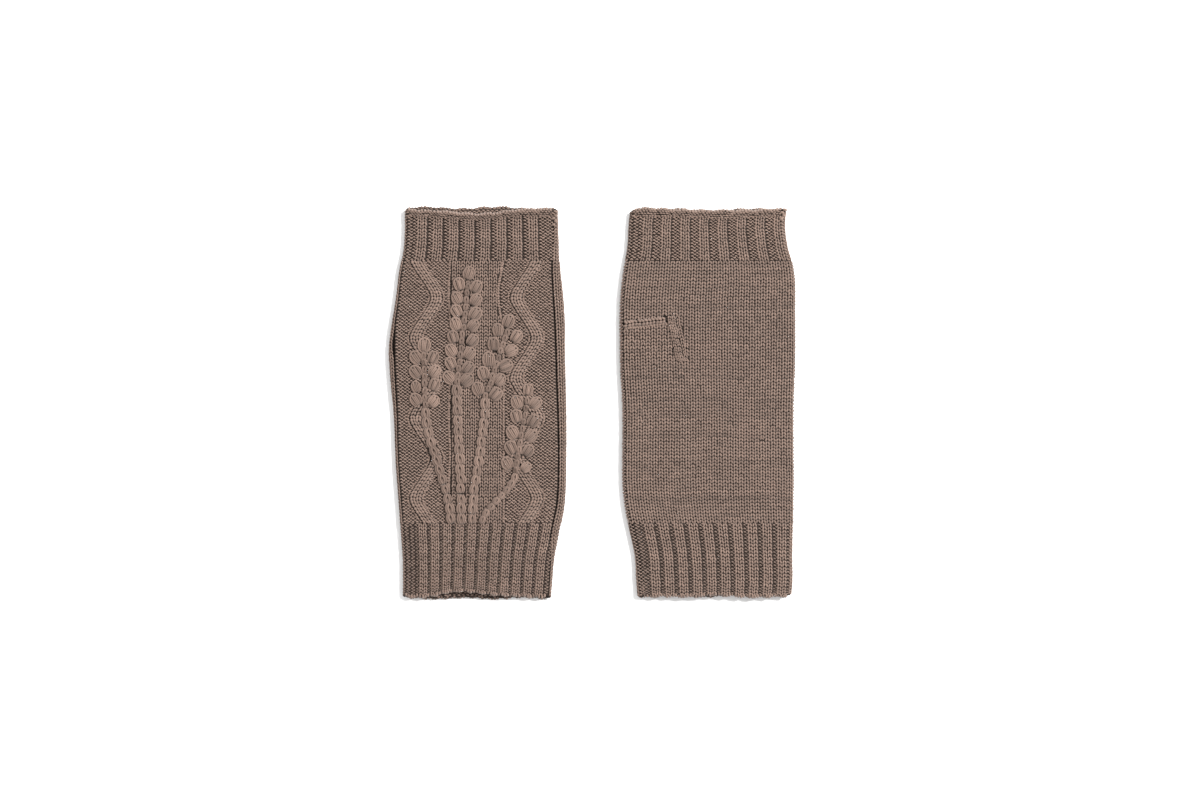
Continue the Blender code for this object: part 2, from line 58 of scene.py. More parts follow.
Ribs = namedtuple("Ribs", "first pitch count knit_share purl_wales")
Dip = namedtuple("Dip", "centre half_width depth")
Glove = namedtuple(
    "Glove", "name centre grid outline wrist_ribs finger_ribs wrist_dip finger_dip"
)

# along, left fold, right fold, left seam, right seam
RIGHT_OUTLINE = (
    (0, -38.9, 37.4, -37.9, 36.3),
    (20, -39.0, 39.2, -37.8, 36.9),
    (33, -39.9, 41.7, -38.4, 37.2),
    (48, -40.9, 44.5, -39.4, 40.2),
    (68, -42.4, 45.3, -40.9, 41.2),
    (95, -43.6, 45.4, -41.6, 40.8),
    (112, -45.2, 45.0, -42.4, 40.2),
    (127, -46.0, 44.7, -42.9, 39.8),
    (140, -44.6, 44.7, -42.6, 39.3),
    (153, -42.4, 43.9, -41.1, 38.6),
    (168, -40.6, 42.4, -39.4, 37.8),
    (176, -38.9, 41.7, -37.7, 38.0),
    (184, -38.1, 41.4, -37.1, 38.4),
    (200, -37.9, 40.9, -37.0, 38.6),
)
# The same, with the right seam on the underside
LEFT_OUTLINE = (
    (0, -36.2, 42.9, -33.1, 35.0),
    (10, -36.9, 43.7, -34.2, 36.0),
    (22, -37.7, 43.6, -35.5, 36.5),
    (34, -40.2, 43.8, -38.0, 36.8),
    (46, -42.7, 43.9, -40.6, 36.9),
    (60, -44.1, 44.1, -42.0, 37.0),
    (96, -44.1, 44.0, -42.0, 37.0),
    (120, -45.3, 44.8, -43.2, 37.8),
    (150, -45.4, 44.9, -43.3, 37.9),
    (163, -44.3, 44.8, -42.2, 37.8),
    (171, -43.0, 43.6, -41.1, 36.6),
    (180, -41.4, 41.2, -39.6, 34.2),
    (190, -40.8, 39.9, -39.2, 32.9),
    (200, -39.9, 40.6, -38.6, 33.6),
)

# Raised knitting
RIB_HEIGHT = 0.9
EDGE_BAND = 3.6
EDGE_BAND_HEIGHT = 0.45
ZIGZAG_HEIGHT = 0.7
COLUMN_HEIGHT = 0.45
LEAF_HEIGHT = 1.6
MOUTH_LIFT = 1.2
MOUTH_DEPTH = 14.0
BACK_MIDDLE = -1.0
ZIGZAG_REACH = 25.6
ZIGZAG_SWING = 5.4
ZIGZAG_PERIOD = 41.0
ZIGZAG_INNER_PEAK = 71.8
# From 0 for a plain wave to 1 for a zigzag with sharp bends
ZIGZAG_SHARPNESS = 0.88
BAND_HALF_WIDTH = 3.0
# From the middle of a zigzag band to the ground's wale along each flank of it
LEFT_FLANK = 3.90
RIGHT_FLANK = 3.70
# How far the rest of the ground keeps from that wale, and from the column
CLEAR_OF_FLANK = 0.45
CLEAR_OF_COLUMN = 1.35
COLUMN_LEFT = -13.8
COLUMN_RIGHT = 12.3
COLUMN_WAIST = Dip(centre=155.0, half_width=22.0, depth=2.2)
# A sprig's root is its x at the wrist cuff, and its stem the scale of the links that
# lead up to its ear of leaves.
Sprig = namedtuple("Sprig", "root ear_x ear_along tip_x tip_along pairs stem")
SPRIGS = (
    Sprig(root=-14.0, ear_x=-26.8, ear_along=97.5, tip_x=-27.6, tip_along=126.8, pairs=4, stem=1.0),
    Sprig(root=-8.5, ear_x=-10.8, ear_along=108.8, tip_x=-4.6, tip_along=162.8, pairs=8, stem=1.0),
    Sprig(root=-3.0, ear_x=3.4, ear_along=102.0, tip_x=15.8, tip_along=139.0, pairs=5, stem=1.0),
    Sprig(root=2.0, ear_x=19.0, ear_along=63.8, tip_x=25.4, tip_along=104.0, pairs=5, stem=0.74),
)
LEAF_LENGTH = 8.2
LEAF_WIDTH = 6.4
LEAF_REACH = 4.6
LEAF_LEAN = math.radians(32)
LEAF_KINDS = 4
LEAF_DEPTH = 0.25
# The half axes of the oval of ground that a leaf hides
HIDDEN_WIDTH = 0.36 * LEAF_WIDTH
HIDDEN_LENGTH = 0.38 * LEAF_LENGTH
# How much of its height a leaf or stem keeps where it is pressed flat
PRESSED_SHARE = 0.4
LINK_SPACING = 5.0
# The links in an ear: how far up they go, where 2 is its tip, and their scale
EAR_END = 1.97
EAR_LINK = 0.56

# The thumb opening
THUMB_LOW = 121.5
THUMB_HIGH_LEFT = 142.6
THUMB_HIGH_RIGHT = 144.8
THUMB_TOP_X = -17.0
THUMB_FOOT_X = -12.2
THUMB_SLIT = 0.7
THUMB_BAND = 3.0
THUMB_ROLL = 4.0
THUMB_ROLL_HEIGHT = 0.8
# x where the band's links start, and how far apart they lie
THUMB_BAND_END = -22.8
BAND_LINK = 1.75
# Palm stitches are left out from this far over the opening's foot to this far under its
# top, and to this far beyond its right edge
OPEN_FROM_FOOT = 0.5
OPEN_TO_TOP = 0.9
OPEN_BEYOND = 1.75

# The knitting's edges: how far in the base cloth and the loops lie, the rows of beads
# at the finger edge, how far in the edges' waviness reaches, how far the edges draw in,
# and the right glove's rounded corners
EDGE_INSET = 0.35
BEAD_ROWS = (4.5, 3.2, 1.9, 0.9)
WAVE_REACH = 6.0
RIGHT_DRAWN_IN = 1.25
LEFT_DRAWN_IN = 0.9
CORNER_DROP = 0.9
CORNER_WIDTH = 3.0

# Knitting gauge, and how deep the yarn's middle and the base cloth lie under the
# wall's outer face
COURSE = 1.68
PALM_WALE = 2.77
LEFT_PALM_WALES = 35
COLUMN_WALE = 2.33
ZIGZAG_WALE = 3.0
ZIGZAG_WALES = (-1.45, 1.45)
PURL_WALE = 2.28
WIDEST_RIB_PURL = 2.4
OUTER_RIB_PURL = 2.3
RIGHT_UNDER_WALE = 2.6
LEFT_UNDER_WALE = 2.4
# A ribbed cuff with this many wales to each purled one has no purled wale at all
ALL_KNIT = 99
INSIDE_WALE = 2.3
BEAD_WALE = 1.6
LOOP_WALE = 1.45
YARN_DEPTH = 0.42
BASE_DEPTH = 0.85
# How much higher than that some stitches stand
RIB_PURL_LIFT = 0.25
WRIST_PURL_LIFT = 0.05
ZIGZAG_LIFT = 0.3
THUMB_BAND_LIFT = 0.25

# How much stitches vary at random in place, height, size and tone, how far the rows of
# plain knitting drift, and how far from the cuffs that drift has its full size
PLACE_SPREAD = 0.07
HEIGHT_SPREAD = 0.06
SIZE_SPREAD = 0.06
TURNED_SIZE_SPREAD = 0.05
ROW_TONE_SPREAD = 0.7
DRIFT = 0.45
DRIFT_REACH = 15.0

# The colours of the yarn and of the painted shade between stitches, and how much they vary
WOOL = (0.1425, 0.0962, 0.0757)
PAINTED_SHADE_WOOL = (0.022, 0.014, 0.0105)
STITCH_VARIETY = 0.10
PATCH_VARIETY = 0.32
FIBRE_VARIETY = 0.5
# Shades: how much lighter some stitches are than others, in the spread between stitches
# Painted highlight: purl bumps are made lighter where they stand up into the light
PURL_PAINTED_HIGHLIGHT = 3.4
# Painted highlight on the wrist's raised knit ribs, and painted shade on its purls down in the
# channels
WRIST_KNIT_PAINTED_HIGHLIGHT = 1.0
WRIST_PURL_PAINTED_SHADE = -4.2
# Painted highlight on the raised zigzag bands
ZIGZAG_PAINTED_HIGHLIGHT = 0.6
LEFT_PALM_SHADE = -1.1
# Painted shade: the strand under a leaf's strands is darker where it shows in their gaps
LEAF_PADDING_PAINTED_SHADE = -5.0
# Painted shade: the filling strand in a link's hole is darker
LINK_FILLING_PAINTED_SHADE = -1.6
# The first and last ring of a strand, as a share of the others
END_RING_SHARE = 0.86

rng = np.random.default_rng(7)


def ease(t):
    t = np.clip(t, 0.0, 1.0)
    return t * t * (3 - 2 * t)


def swell(x, centre, half_width):
    """A smooth hump, 1 at its centre and 0 from half_width out."""
    reach = np.clip(np.abs(x - centre) / half_width, 0.0, 1.0)
    return np.cos(reach * math.pi / 2) ** 2


def dip_at(dip, x):
    """How far an edge with a dip in it draws in at x."""
    return dip.depth * swell(x, dip.centre, dip.half_width)


def outline_curves(rows):
    """Each column of an outline on a smooth curve, every quarter of a millimetre."""
    rows = np.array(rows, dtype=float)
    along, fields = rows[:, 0], rows[:, 1:]
    slopes = np.gradient(fields, axis=0)
    slopes[0] = (fields[1] - fields[0]) / (along[1] - along[0])
    slopes[-1] = (fields[-1] - fields[-2]) / (along[-1] - along[-2])
    slopes[1:-1] = (fields[2:] - fields[:-2]) / (along[2:] - along[:-2])[:, None]
    grid = np.arange(0.0, LENGTH + 0.1, 0.25)
    low = np.clip(np.searchsorted(along, grid) - 1, 0, len(along) - 2)
    span = (along[low + 1] - along[low])[:, None]
    t = (grid - along[low])[:, None] / span
    curves = (
        fields[low] * (2 * t**3 - 3 * t**2 + 1)
        + slopes[low] * span * (t**3 - 2 * t**2 + t)
        + fields[low + 1] * (3 * t**2 - 2 * t**3)
        + slopes[low + 1] * span * (t**3 - t**2)
    )
    return grid, curves.T


RIGHT = Glove(
    "right_glove",
    -58.1,
    *outline_curves(RIGHT_OUTLINE),
    Ribs(first=-27.9, pitch=6.01, count=11, knit_share=0.7, purl_wales=1),
    Ribs(first=-28.8, pitch=8.12, count=8, knit_share=0.62, purl_wales=1),
    Dip(centre=-6.0, half_width=24.0, depth=2.6),
    Dip(centre=-2.5, half_width=24.0, depth=2.6),
)
LEFT = Glove(
    "left_glove",
    59.2,
    *outline_curves(LEFT_OUTLINE),
    Ribs(first=-27.3, pitch=7.21, count=10, knit_share=0.68, purl_wales=1),
    Ribs(first=-31.1, pitch=9.59, count=8, knit_share=0.52, purl_wales=2),
    Dip(centre=2.0, half_width=30.0, depth=0.8),
    Dip(centre=7.0, half_width=24.0, depth=1.2),
)


def edges_at(glove, along):
    """Left fold, right fold, left seam and right seam at a distance along."""
    return [np.interp(along, glove.grid, curve) for curve in glove.outline]


def folds_at(glove, along):
    return edges_at(glove, along)[:2]


def leaned(glove, x, start, end):
    """x moved with the outline from one distance along to another."""
    left, right = folds_at(glove, start)
    end_left, end_right = folds_at(glove, end)
    return end_left + (x - left) / (right - left) * (end_right - end_left)


def half_girth(glove, along):
    left, right = folds_at(glove, along)
    return right - left - 2 * FOLD_RADIUS + 2 * QUARTER


def girth_at(glove, along, x, under=False):
    """Girth at x, from the left fold over the top, or on past the right fold."""
    left, right = folds_at(glove, along)
    left, right = left + FOLD_RADIUS, right - FOLD_RADIUS
    before = np.arcsin(np.clip((left - x) / FOLD_RADIUS, 0.0, 1.0))
    beyond = np.arcsin(np.clip((x - right) / FOLD_RADIUS, 0.0, 1.0))
    if under:
        flat = right - np.clip(x, left, right)
        return half_girth(glove, along) + QUARTER + flat + FOLD_RADIUS * (before - beyond)
    return QUARTER + np.clip(x, left, right) - left + FOLD_RADIUS * (beyond - before)


def section(glove, along, girth, out):
    """x and z of points round the section, moved out along its normal."""
    left, right = folds_at(glove, along)
    left, right = left + FOLD_RADIUS, right - FOLD_RADIUS
    flat = right - left
    girth = np.mod(girth, 2 * flat + 4 * QUARTER)
    round_left = girth < QUARTER
    top = girth < QUARTER + flat
    round_right = girth < 3 * QUARTER + flat
    under = girth < 3 * QUARTER + 2 * flat
    parts = [round_left, top, round_right, under]
    centre = np.select(
        parts,
        [left, left + girth - QUARTER, right, right - (girth - 3 * QUARTER - flat)],
        left,
    )
    angle = np.select(
        parts,
        [
            math.pi - girth / FOLD_RADIUS,
            math.pi / 2,
            math.pi / 2 - (girth - QUARTER - flat) / FOLD_RADIUS,
            -math.pi / 2,
        ],
        -math.pi / 2 - (girth - 3 * QUARTER - 2 * flat) / FOLD_RADIUS,
    )
    radius = FOLD_RADIUS + out
    return centre + radius * np.cos(angle), FOLD_RADIUS + radius * np.sin(angle)


def rib_relief(glove, ribs, x, along, cuff_middle):
    """Height of a cuff's ribs, whose places are given in the middle of the cuff."""
    place_in_row = (leaned(glove, x, along, cuff_middle) - ribs.first) / ribs.pitch
    nearest = np.clip(np.round(place_in_row), 0, ribs.count - 1)
    from_crest = np.abs(place_in_row - nearest)
    return RIB_HEIGHT * ease((ribs.knit_share / 2 + 0.1 - from_crest) / 0.2)


def cuff_relief(glove, x, along):
    """Ribs up the two cuffs, fading out at the hand and at the edges."""
    wrist = rib_relief(glove, glove.wrist_ribs, x, along, WRIST_MIDDLE)
    wrist = wrist * ease(along / 1.2 + 0.2) * ease((WRIST_CUFF + 0.5 - along) / 1.5)
    finger = rib_relief(glove, glove.finger_ribs, x, along, FINGER_MIDDLE)
    end = LENGTH - EDGE_BAND
    finger = finger * ease((along - HAND_END + 0.5) / 1.5) * ease(end - along + 0.5)
    band = ease((along - end) / 0.8 + 0.5) * ease((LENGTH - along) / 1.2 + 0.2)
    return np.where(along < LENGTH / 2, wrist, finger + EDGE_BAND_HEIGHT * band)


def zigzag_x(along):
    """How far the middle of a zigzag band lies from the middle of the back."""
    turn = (along - ZIGZAG_INNER_PEAK) / ZIGZAG_PERIOD
    wave = np.arcsin(ZIGZAG_SHARPNESS * np.cos(2 * math.pi * turn))
    return ZIGZAG_REACH - ZIGZAG_SWING * wave / math.asin(ZIGZAG_SHARPNESS)


def on_hand(along):
    return (along > WRIST_CUFF) & (along < HAND_END)


def from_band(x, along):
    """Distance from the middle of the nearest zigzag band."""
    return np.abs(np.abs(x - BACK_MIDDLE) - zigzag_x(along))


def inside_column(x, along):
    """Distance inside the plain column's edges, negative outside it."""
    right = COLUMN_RIGHT - dip_at(COLUMN_WAIST, along)
    return np.minimum(x - COLUMN_LEFT, right - x)


def back_relief(glove, x, along):
    """The patterned back's zigzags and plain column, and its ribbed cuffs."""
    band = ZIGZAG_HEIGHT * ease((BAND_HALF_WIDTH + 0.7 - from_band(x, along)) / 1.4)
    column = COLUMN_HEIGHT * ease(inside_column(x, along) / 1.4 + 0.5)
    cuffs = cuff_relief(glove, x, along)
    return np.where(on_hand(along), np.maximum(band, column), cuffs)


def plain(glove, x, along):
    return np.zeros_like(x)


def thumb_high(x):
    """The upper edge of the thumb opening, which slants up towards the palm."""
    start = LEFT_OUTLINE[0][1]
    share = (x - start) / (THUMB_TOP_X - start)
    return THUMB_HIGH_LEFT + share * (THUMB_HIGH_RIGHT - THUMB_HIGH_LEFT)


def thumb_right(along):
    """The slanting right edge of the thumb opening."""
    share = (THUMB_HIGH_RIGHT - along) / (THUMB_HIGH_RIGHT - THUMB_LOW)
    return THUMB_TOP_X + share * (THUMB_FOOT_X - THUMB_TOP_X)


def slit_edge(x):
    """The upper side of the slit that the thumb comes through."""
    return thumb_high(x) - SEAM_GAP - THUMB_BAND


def gusset_top(x):
    """The lower side of the slit."""
    return slit_edge(x) - THUMB_SLIT


def off_palm(x, along):
    """Where the palm's own stitches leave room for the thumb's pieces."""
    at_height = (along > THUMB_LOW + OPEN_FROM_FOOT) & (along < thumb_high(x) - OPEN_TO_TOP)
    return at_height & (x < thumb_right(along) + OPEN_BEYOND)


def half_wave(t):
    return np.sin(math.pi * np.clip(t, 0.0, 1.0))


def thumb_relief(x, along):
    """The rolled seam and lip of the thumb gusset, and the band over its slit."""
    nearest = np.minimum(thumb_right(along) - SEAM_GAP - x, gusset_top(x) - along)
    lip = half_wave(nearest / THUMB_ROLL) * ease((along - THUMB_LOW + 2.0) / 4.0)
    band = half_wave((along - slit_edge(x)) / THUMB_BAND) * (x < thumb_right(along))
    return THUMB_ROLL_HEIGHT * np.maximum(lip, band)


def left_relief(glove, x, along):
    """What is raised on the palm that lies uppermost."""
    return cuff_relief(glove, x, along) + thumb_relief(x, along)


# Soft creases of the upper cloth: x, along, direction, half length, half width, height
RIGHT_CREASES = (
    (-30.0, 46.0, 78.0, 22.0, 5.0, 0.35),
    (22.0, 48.0, 100.0, 20.0, 6.0, 0.30),
    (30.0, 160.0, 70.0, 24.0, 6.0, 0.35),
    (-34.0, 150.0, 105.0, 22.0, 5.0, 0.40),
    (0.0, 168.0, 8.0, 26.0, 4.0, 0.25),
)
LEFT_CREASES = (
    (-8.0, 150.0, 100.0, 26.0, 7.0, 0.45),
    (-22.0, 112.0, 125.0, 22.0, 6.0, 0.40),
    (26.0, 60.0, 85.0, 30.0, 8.0, 0.35),
    (-20.0, 58.0, 95.0, 24.0, 7.0, 0.30),
    (14.0, 128.0, 78.0, 34.0, 9.0, -0.30),
)


def creases(glove, x, along):
    """Height of the soft creases in the cloth that lies uppermost."""
    height = np.zeros_like(x)
    rows = RIGHT_CREASES if glove is RIGHT else LEFT_CREASES
    for at_x, at_along, direction, length, width, high in rows:
        angle = math.radians(direction)
        dx, dy = x - at_x, along - at_along
        lengthwise = dx * math.cos(angle) + dy * math.sin(angle)
        across = dy * math.cos(angle) - dx * math.sin(angle)
        height = height + high * swell(lengthwise, 0, length) * swell(across, 0, width)
    return height


def edge_wave(glove, x, along, on_top):
    """How far the two edges of the knitting wander from straight."""
    finger = ease((along - LENGTH + WAVE_REACH) / WAVE_REACH)
    wrist = ease((WAVE_REACH - along) / WAVE_REACH)
    phase = 1.3 * on_top + (0.0 if glove is RIGHT else 2.1)
    scallop = np.sin(2 * math.pi * (x - glove.wrist_ribs.first) / glove.wrist_ribs.pitch + 1.57)
    at_wrist = 0.30 * scallop + 0.35 * np.sin(0.21 * x + phase)
    at_finger = 0.45 * np.sin(0.17 * x + 2.0 * phase) + 0.25 * np.sin(0.62 * x - phase)
    drawn_in = RIGHT_DRAWN_IN * on_top if glove is RIGHT else LEFT_DRAWN_IN
    if glove is RIGHT:
        left, right = folds_at(glove, LENGTH)
        from_corner = (right - left) / 2 - np.abs(x - (left + right) / 2)
        rounding = CORNER_DROP * ease((CORNER_WIDTH - from_corner) / CORNER_WIDTH)
        at_finger = at_finger - rounding
    return finger * (at_finger - drawn_in) - wrist * (at_wrist - drawn_in)


# A panel's relief gives the height of what is knitted in raised forms.
# A panel lies on top or under the other panel of its glove.
Panel = namedtuple("Panel", "glove relief under")


def surface(panel, along, girth, out):
    """Points of a panel in metres, out from the relief on its wall."""
    glove = panel.glove
    x, z = section(glove, along, girth, 0.0)
    on_top = np.clip((z - FOLD_RADIUS) / FOLD_RADIUS, 0.0, 1.0)
    raised = (panel.relief(glove, x, along) + creases(glove, x, along)) * ease(on_top)
    x, z = section(glove, along, girth, raised + out)
    left, right = folds_at(glove, along)
    arch = on_top * swell(x, (left + right) / 2, (right - left) / 2)
    finger = ease((along - LENGTH + MOUTH_DEPTH) / MOUTH_DEPTH)
    wrist = ease((MOUTH_DEPTH - along) / MOUTH_DEPTH)
    z = z + MOUTH_LIFT * arch * (finger + wrist)
    down = on_top * dip_at(glove.finger_dip, x)
    up = on_top * dip_at(glove.wrist_dip, x)
    wave = edge_wave(glove, x, along, on_top)
    y = along + up * wrist - down * finger + wave - LENGTH / 2
    return np.stack([(x + glove.centre) * MM, y * MM, np.maximum(z, 0.0) * MM], axis=-1)


# A part is a length of yarn, a stitch or many of them. A stitch is made once, with u
# across its wale, v along it and w out of the cloth, and is then copied over a panel.
# A shade makes a corner lighter or darker: some shades are random tone, some painted highlight and
# painted shade.
Part = namedtuple("Part", "corners triangles shades")


def strand(points, half_width, half_height, sides=5, across=None):
    """A closed length of yarn: a tip at each end and a ring at each point between."""
    points = np.array(points, dtype=float)
    corners = [points[0]]
    rings = len(points) - 2
    for i in range(1, rings + 1):
        ahead = points[i + 1] - points[i - 1]
        ahead = ahead / np.linalg.norm(ahead)
        side = np.cross(ahead, (0, 0, 1)) if across is None else np.array(across, float)
        side = side / np.linalg.norm(side)
        up = np.cross(side, ahead)
        full = 1.0 if 1 < i < rings else END_RING_SHARE
        for k in range(sides):
            turn = 2 * math.pi * (k + 0.25) / sides
            offset = half_width * math.cos(turn) * side + half_height * math.sin(turn) * up
            corners.append(points[i] + full * offset)
    corners.append(points[-1])
    last = len(corners) - 1
    last_ring = 1 + (rings - 1) * sides
    triangles = []
    for k in range(sides):
        following = (k + 1) % sides
        triangles.append((0, 1 + following, 1 + k))
        triangles.append((last, last_ring + k, last_ring + following))
        for ring in range(rings - 1):
            a, b = 1 + ring * sides, 1 + (ring + 1) * sides
            triangles.append((a + k, a + following, b + following))
            triangles.append((a + k, b + following, b + k))
    return Part(np.array(corners), np.array(triangles), np.zeros(len(corners)))


def together(*parts):
    """One part made of several."""
    corners, triangles, shades, count = [], [], [], 0
    for part in parts:
        corners.append(part.corners)
        triangles.append(part.triangles + count)
        shades.append(part.shades)
        count += len(part.corners)
    return Part(*(np.concatenate(each) for each in (corners, triangles, shades)))


def shaded(part, by):
    return part._replace(shades=part.shades + by)


def knit_stitch(wale, course=COURSE, sides=4, full=True, thick=0.205):
    """The two slanting legs of a plain stitch, closing towards the fingers."""
    legs = []
    for side in (-1, 1):
        path = [
            (0.41 * wale * side, -0.60 * course, -0.85),
            (0.35 * wale * side, -0.32 * course, -0.10),
            (0.25 * wale * side, 0.04 * course, 0.18),
            (0.15 * wale * side, 0.36 * course, -0.12),
            (0.09 * wale * side, 0.64 * course, -0.85),
        ]
        if not full:
            del path[2]
        legs.append(strand(path, thick * wale, 0.46, sides))
    return together(*legs)


def purl_bump(wale, side, full=True):
    """A crosswise bump of a purl stitch: a crest for side 1, a trough for -1."""
    path = [
        (-0.36 * wale, -0.22 * side * COURSE, -0.95),
        (-0.21 * wale, -0.04 * side * COURSE, -0.10),
        (0.00, 0.06 * side * COURSE, 0.24),
        (0.21 * wale, -0.04 * side * COURSE, -0.10),
        (0.36 * wale, -0.22 * side * COURSE, -0.95),
    ]
    if not full:
        del path[2]
    # The bump is made lighter as painted highlight
    return shaded(strand(path, 0.245 * COURSE, 0.50, 4), PURL_PAINTED_HIGHLIGHT)


def purl_stitch(wale, full=True):
    """The crest and the trough of a purl stitch, which lie in a brick pattern."""
    crest, trough = purl_bump(wale, 1, full), purl_bump(wale, -1, full)
    corners = trough.corners + np.array([0.5 * wale, 0.5 * COURSE, 0.0])
    return together(crest, trough._replace(corners=corners))


def sway(along, girth):
    """A slow drift of the rows, as hand and wash leave it in plain knitting."""
    return np.sin(0.085 * girth + 0.047 * along) + 0.6 * np.sin(0.21 * girth - 0.03 * along)


def stitches(panel, stitch, wales, rows, field, depth=YARN_DEPTH, rough=1.0, drift=0.0):
    """Copies of a stitch at wales and rows, where field gives the girth of a wale."""
    count = len(wales)
    shift = rng.normal(0.0, PLACE_SPREAD * rough, (count, 2))
    raised = rng.normal(0.0, HEIGHT_SPREAD * rough, (count, 1))
    size = 1 + rng.normal(0.0, SIZE_SPREAD * rough, (count, 1))
    courses, course_of = np.unique(np.round(rows, 2), return_inverse=True)
    tones = rng.normal(0.0, 1.0, count)
    tones = tones + rng.normal(0.0, ROW_TONE_SPREAD, len(courses))[course_of]
    clear_of_cuffs = np.minimum(rows - WRIST_CUFF, HAND_END - rows)
    rows = rows + drift * sway(rows, field(wales, rows)) * ease(clear_of_cuffs / DRIFT_REACH)
    u, v, w = (stitch.corners[None, :, i] * size for i in range(3))
    along = rows[:, None] + shift[:, :1] + v
    girth = field(wales[:, None] + 0 * v, along) + shift[:, 1:] + u
    return copies(stitch, surface(panel, along, girth, w + raised - depth), tones)


def turned(panel, part, x, along, turn, depth=YARN_DEPTH):
    """Copies of a part at x and along, each turned clockwise as seen from above."""
    size = 1 + rng.normal(0.0, TURNED_SIZE_SPREAD, (len(x), 1))
    cos, sin = np.cos(turn)[:, None], np.sin(turn)[:, None]
    u = part.corners[None, :, 0] * size * (-1 if panel.under else 1)
    v = part.corners[None, :, 1] * size
    w = part.corners[None, :, 2]
    at_x = x[:, None] + u * cos + v * sin
    at_along = along[:, None] - u * sin + v * cos
    girth = girth_at(panel.glove, at_along, at_x, panel.under)
    points = surface(panel, at_along, girth, w - depth)
    return copies(part, points, rng.normal(0.0, 1.0, len(x)))


def copies(part, points, tones):
    """One mesh of the copies of a part, whose corners lie at points."""
    count, size = points.shape[:2]
    starts = (np.arange(count) * size)[:, None, None]
    triangles = (part.triangles[None] + starts).reshape(-1, 3)
    tones = (tones[:, None] + part.shades[None]).ravel()
    return Part(points.reshape(-1, 3), triangles, tones)


def add_object(name, data):
    made = bpy.data.objects.new(name, data)
    bpy.context.collection.objects.link(made)
    return made


def mesh_piece(name, material, points, triangles, tones=None):
    mesh = bpy.data.meshes.new(name)
    mesh.vertices.add(len(points))
    mesh.vertices.foreach_set("co", np.ascontiguousarray(points, np.float32).ravel())
    mesh.loops.add(3 * len(triangles))
    mesh.loops.foreach_set("vertex_index", triangles.astype(np.int32).ravel())
    mesh.polygons.add(len(triangles))
    starts = np.arange(0, 3 * len(triangles), 3, dtype=np.int32)
    mesh.polygons.foreach_set("loop_start", starts)
    mesh.update(calc_edges=True)
    mesh.shade_smooth()
    if tones is not None:
        tone = mesh.attributes.new("tone", "FLOAT", "POINT")
        tone.data.foreach_set("value", tones.astype(np.float32))
    mesh.materials.append(material)
    piece = add_object(name, mesh)
    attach(piece, "root")
    return piece


def yarn_piece(name, parts):
    return mesh_piece(name, YARN, *together(*parts))


# Materials

def set_inputs(node, values):
    for name, value in values.items():
        node.inputs[name].default_value = value


def new_material(name, values):
    """A material and its shader, some of whose inputs are given."""
    material = bpy.data.materials.new(name)
    material.use_nodes = True
    shader = material.node_tree.nodes["Principled BSDF"]
    set_inputs(shader, values)
    return material, shader


def noise(tree, place, **values):
    made = tree.nodes.new("ShaderNodeTexNoise")
    set_inputs(made, values)
    tree.links.new(place.outputs["Object"], made.inputs["Vector"])
    return made.outputs["Fac"]


def scaled(tree, value, factor, plus=None):
    """A value times a factor, plus another value where one is given."""
    made = tree.nodes.new("ShaderNodeMath")
    made.operation = "MULTIPLY" if plus is None else "MULTIPLY_ADD"
    made.inputs[1].default_value = factor
    tree.links.new(value, made.inputs[0])
    if plus is not None:
        tree.links.new(plus, made.inputs[2])
    return made.outputs[0]


def wool_material(name, colour, variety, sheen):
    """Matt wool: its shade varies by stitch and in soft patches, with fine fibres."""
    matt = {
        "Roughness": 0.92,
        "Specular IOR Level": 0.25,
        "Sheen Weight": sheen,
        "Sheen Roughness": 0.55,
        "Sheen Tint": (0.80, 0.70, 0.64, 1.0),
    }
    material, shader = new_material(name, matt)
    tree = material.node_tree
    place = tree.nodes.new("ShaderNodeTexCoord")
    patches = noise(tree, place, Scale=110.0, Detail=3.0)
    fibres = noise(tree, place, Scale=2600.0, Detail=4.0, Roughness=0.65)
    # The tone attribute holds each stitch's random tone plus the painted highlight and painted
    # shade of its part
    tone = tree.nodes.new("ShaderNodeAttribute")
    tone.attribute_name = "tone"
    total = scaled(tree, tone.outputs["Fac"], variety)
    total = scaled(tree, patches, PATCH_VARIETY, total)
    total = scaled(tree, fibres, FIBRE_VARIETY, total)
    shade = tree.nodes.new("ShaderNodeMapRange")
    shade.clamp = False
    set_inputs(shade, {"From Max": 0.82, "To Min": 0.72, "To Max": 1.28})
    tree.links.new(total, shade.inputs["Value"])
    tint = tree.nodes.new("ShaderNodeVectorMath")
    tint.operation = "SCALE"
    tint.inputs[0].default_value = colour
    tree.links.new(shade.outputs["Result"], tint.inputs["Scale"])
    tree.links.new(tint.outputs["Vector"], shader.inputs["Base Color"])
    bump = tree.nodes.new("ShaderNodeBump")
    set_inputs(bump, {"Strength": 0.5, "Distance": 0.0002})
    tree.links.new(fibres, bump.inputs["Height"])
    tree.links.new(bump.outputs["Normal"], shader.inputs["Normal"])
    return material


YARN = wool_material("taupe_wool_yarn", WOOL, STITCH_VARIETY, sheen=0.25)
# The base cloths' very dark wool is painted shade in the deep gaps between stitches
PAINTED_SHADE_BETWEEN_STITCHES = wool_material("taupe_wool_painted_shade_between_stitches", PAINTED_SHADE_WOOL, 0.0, sheen=0.05)


# Base cloths: the thin wall that shows only between the stitches, its dark colour painted shade

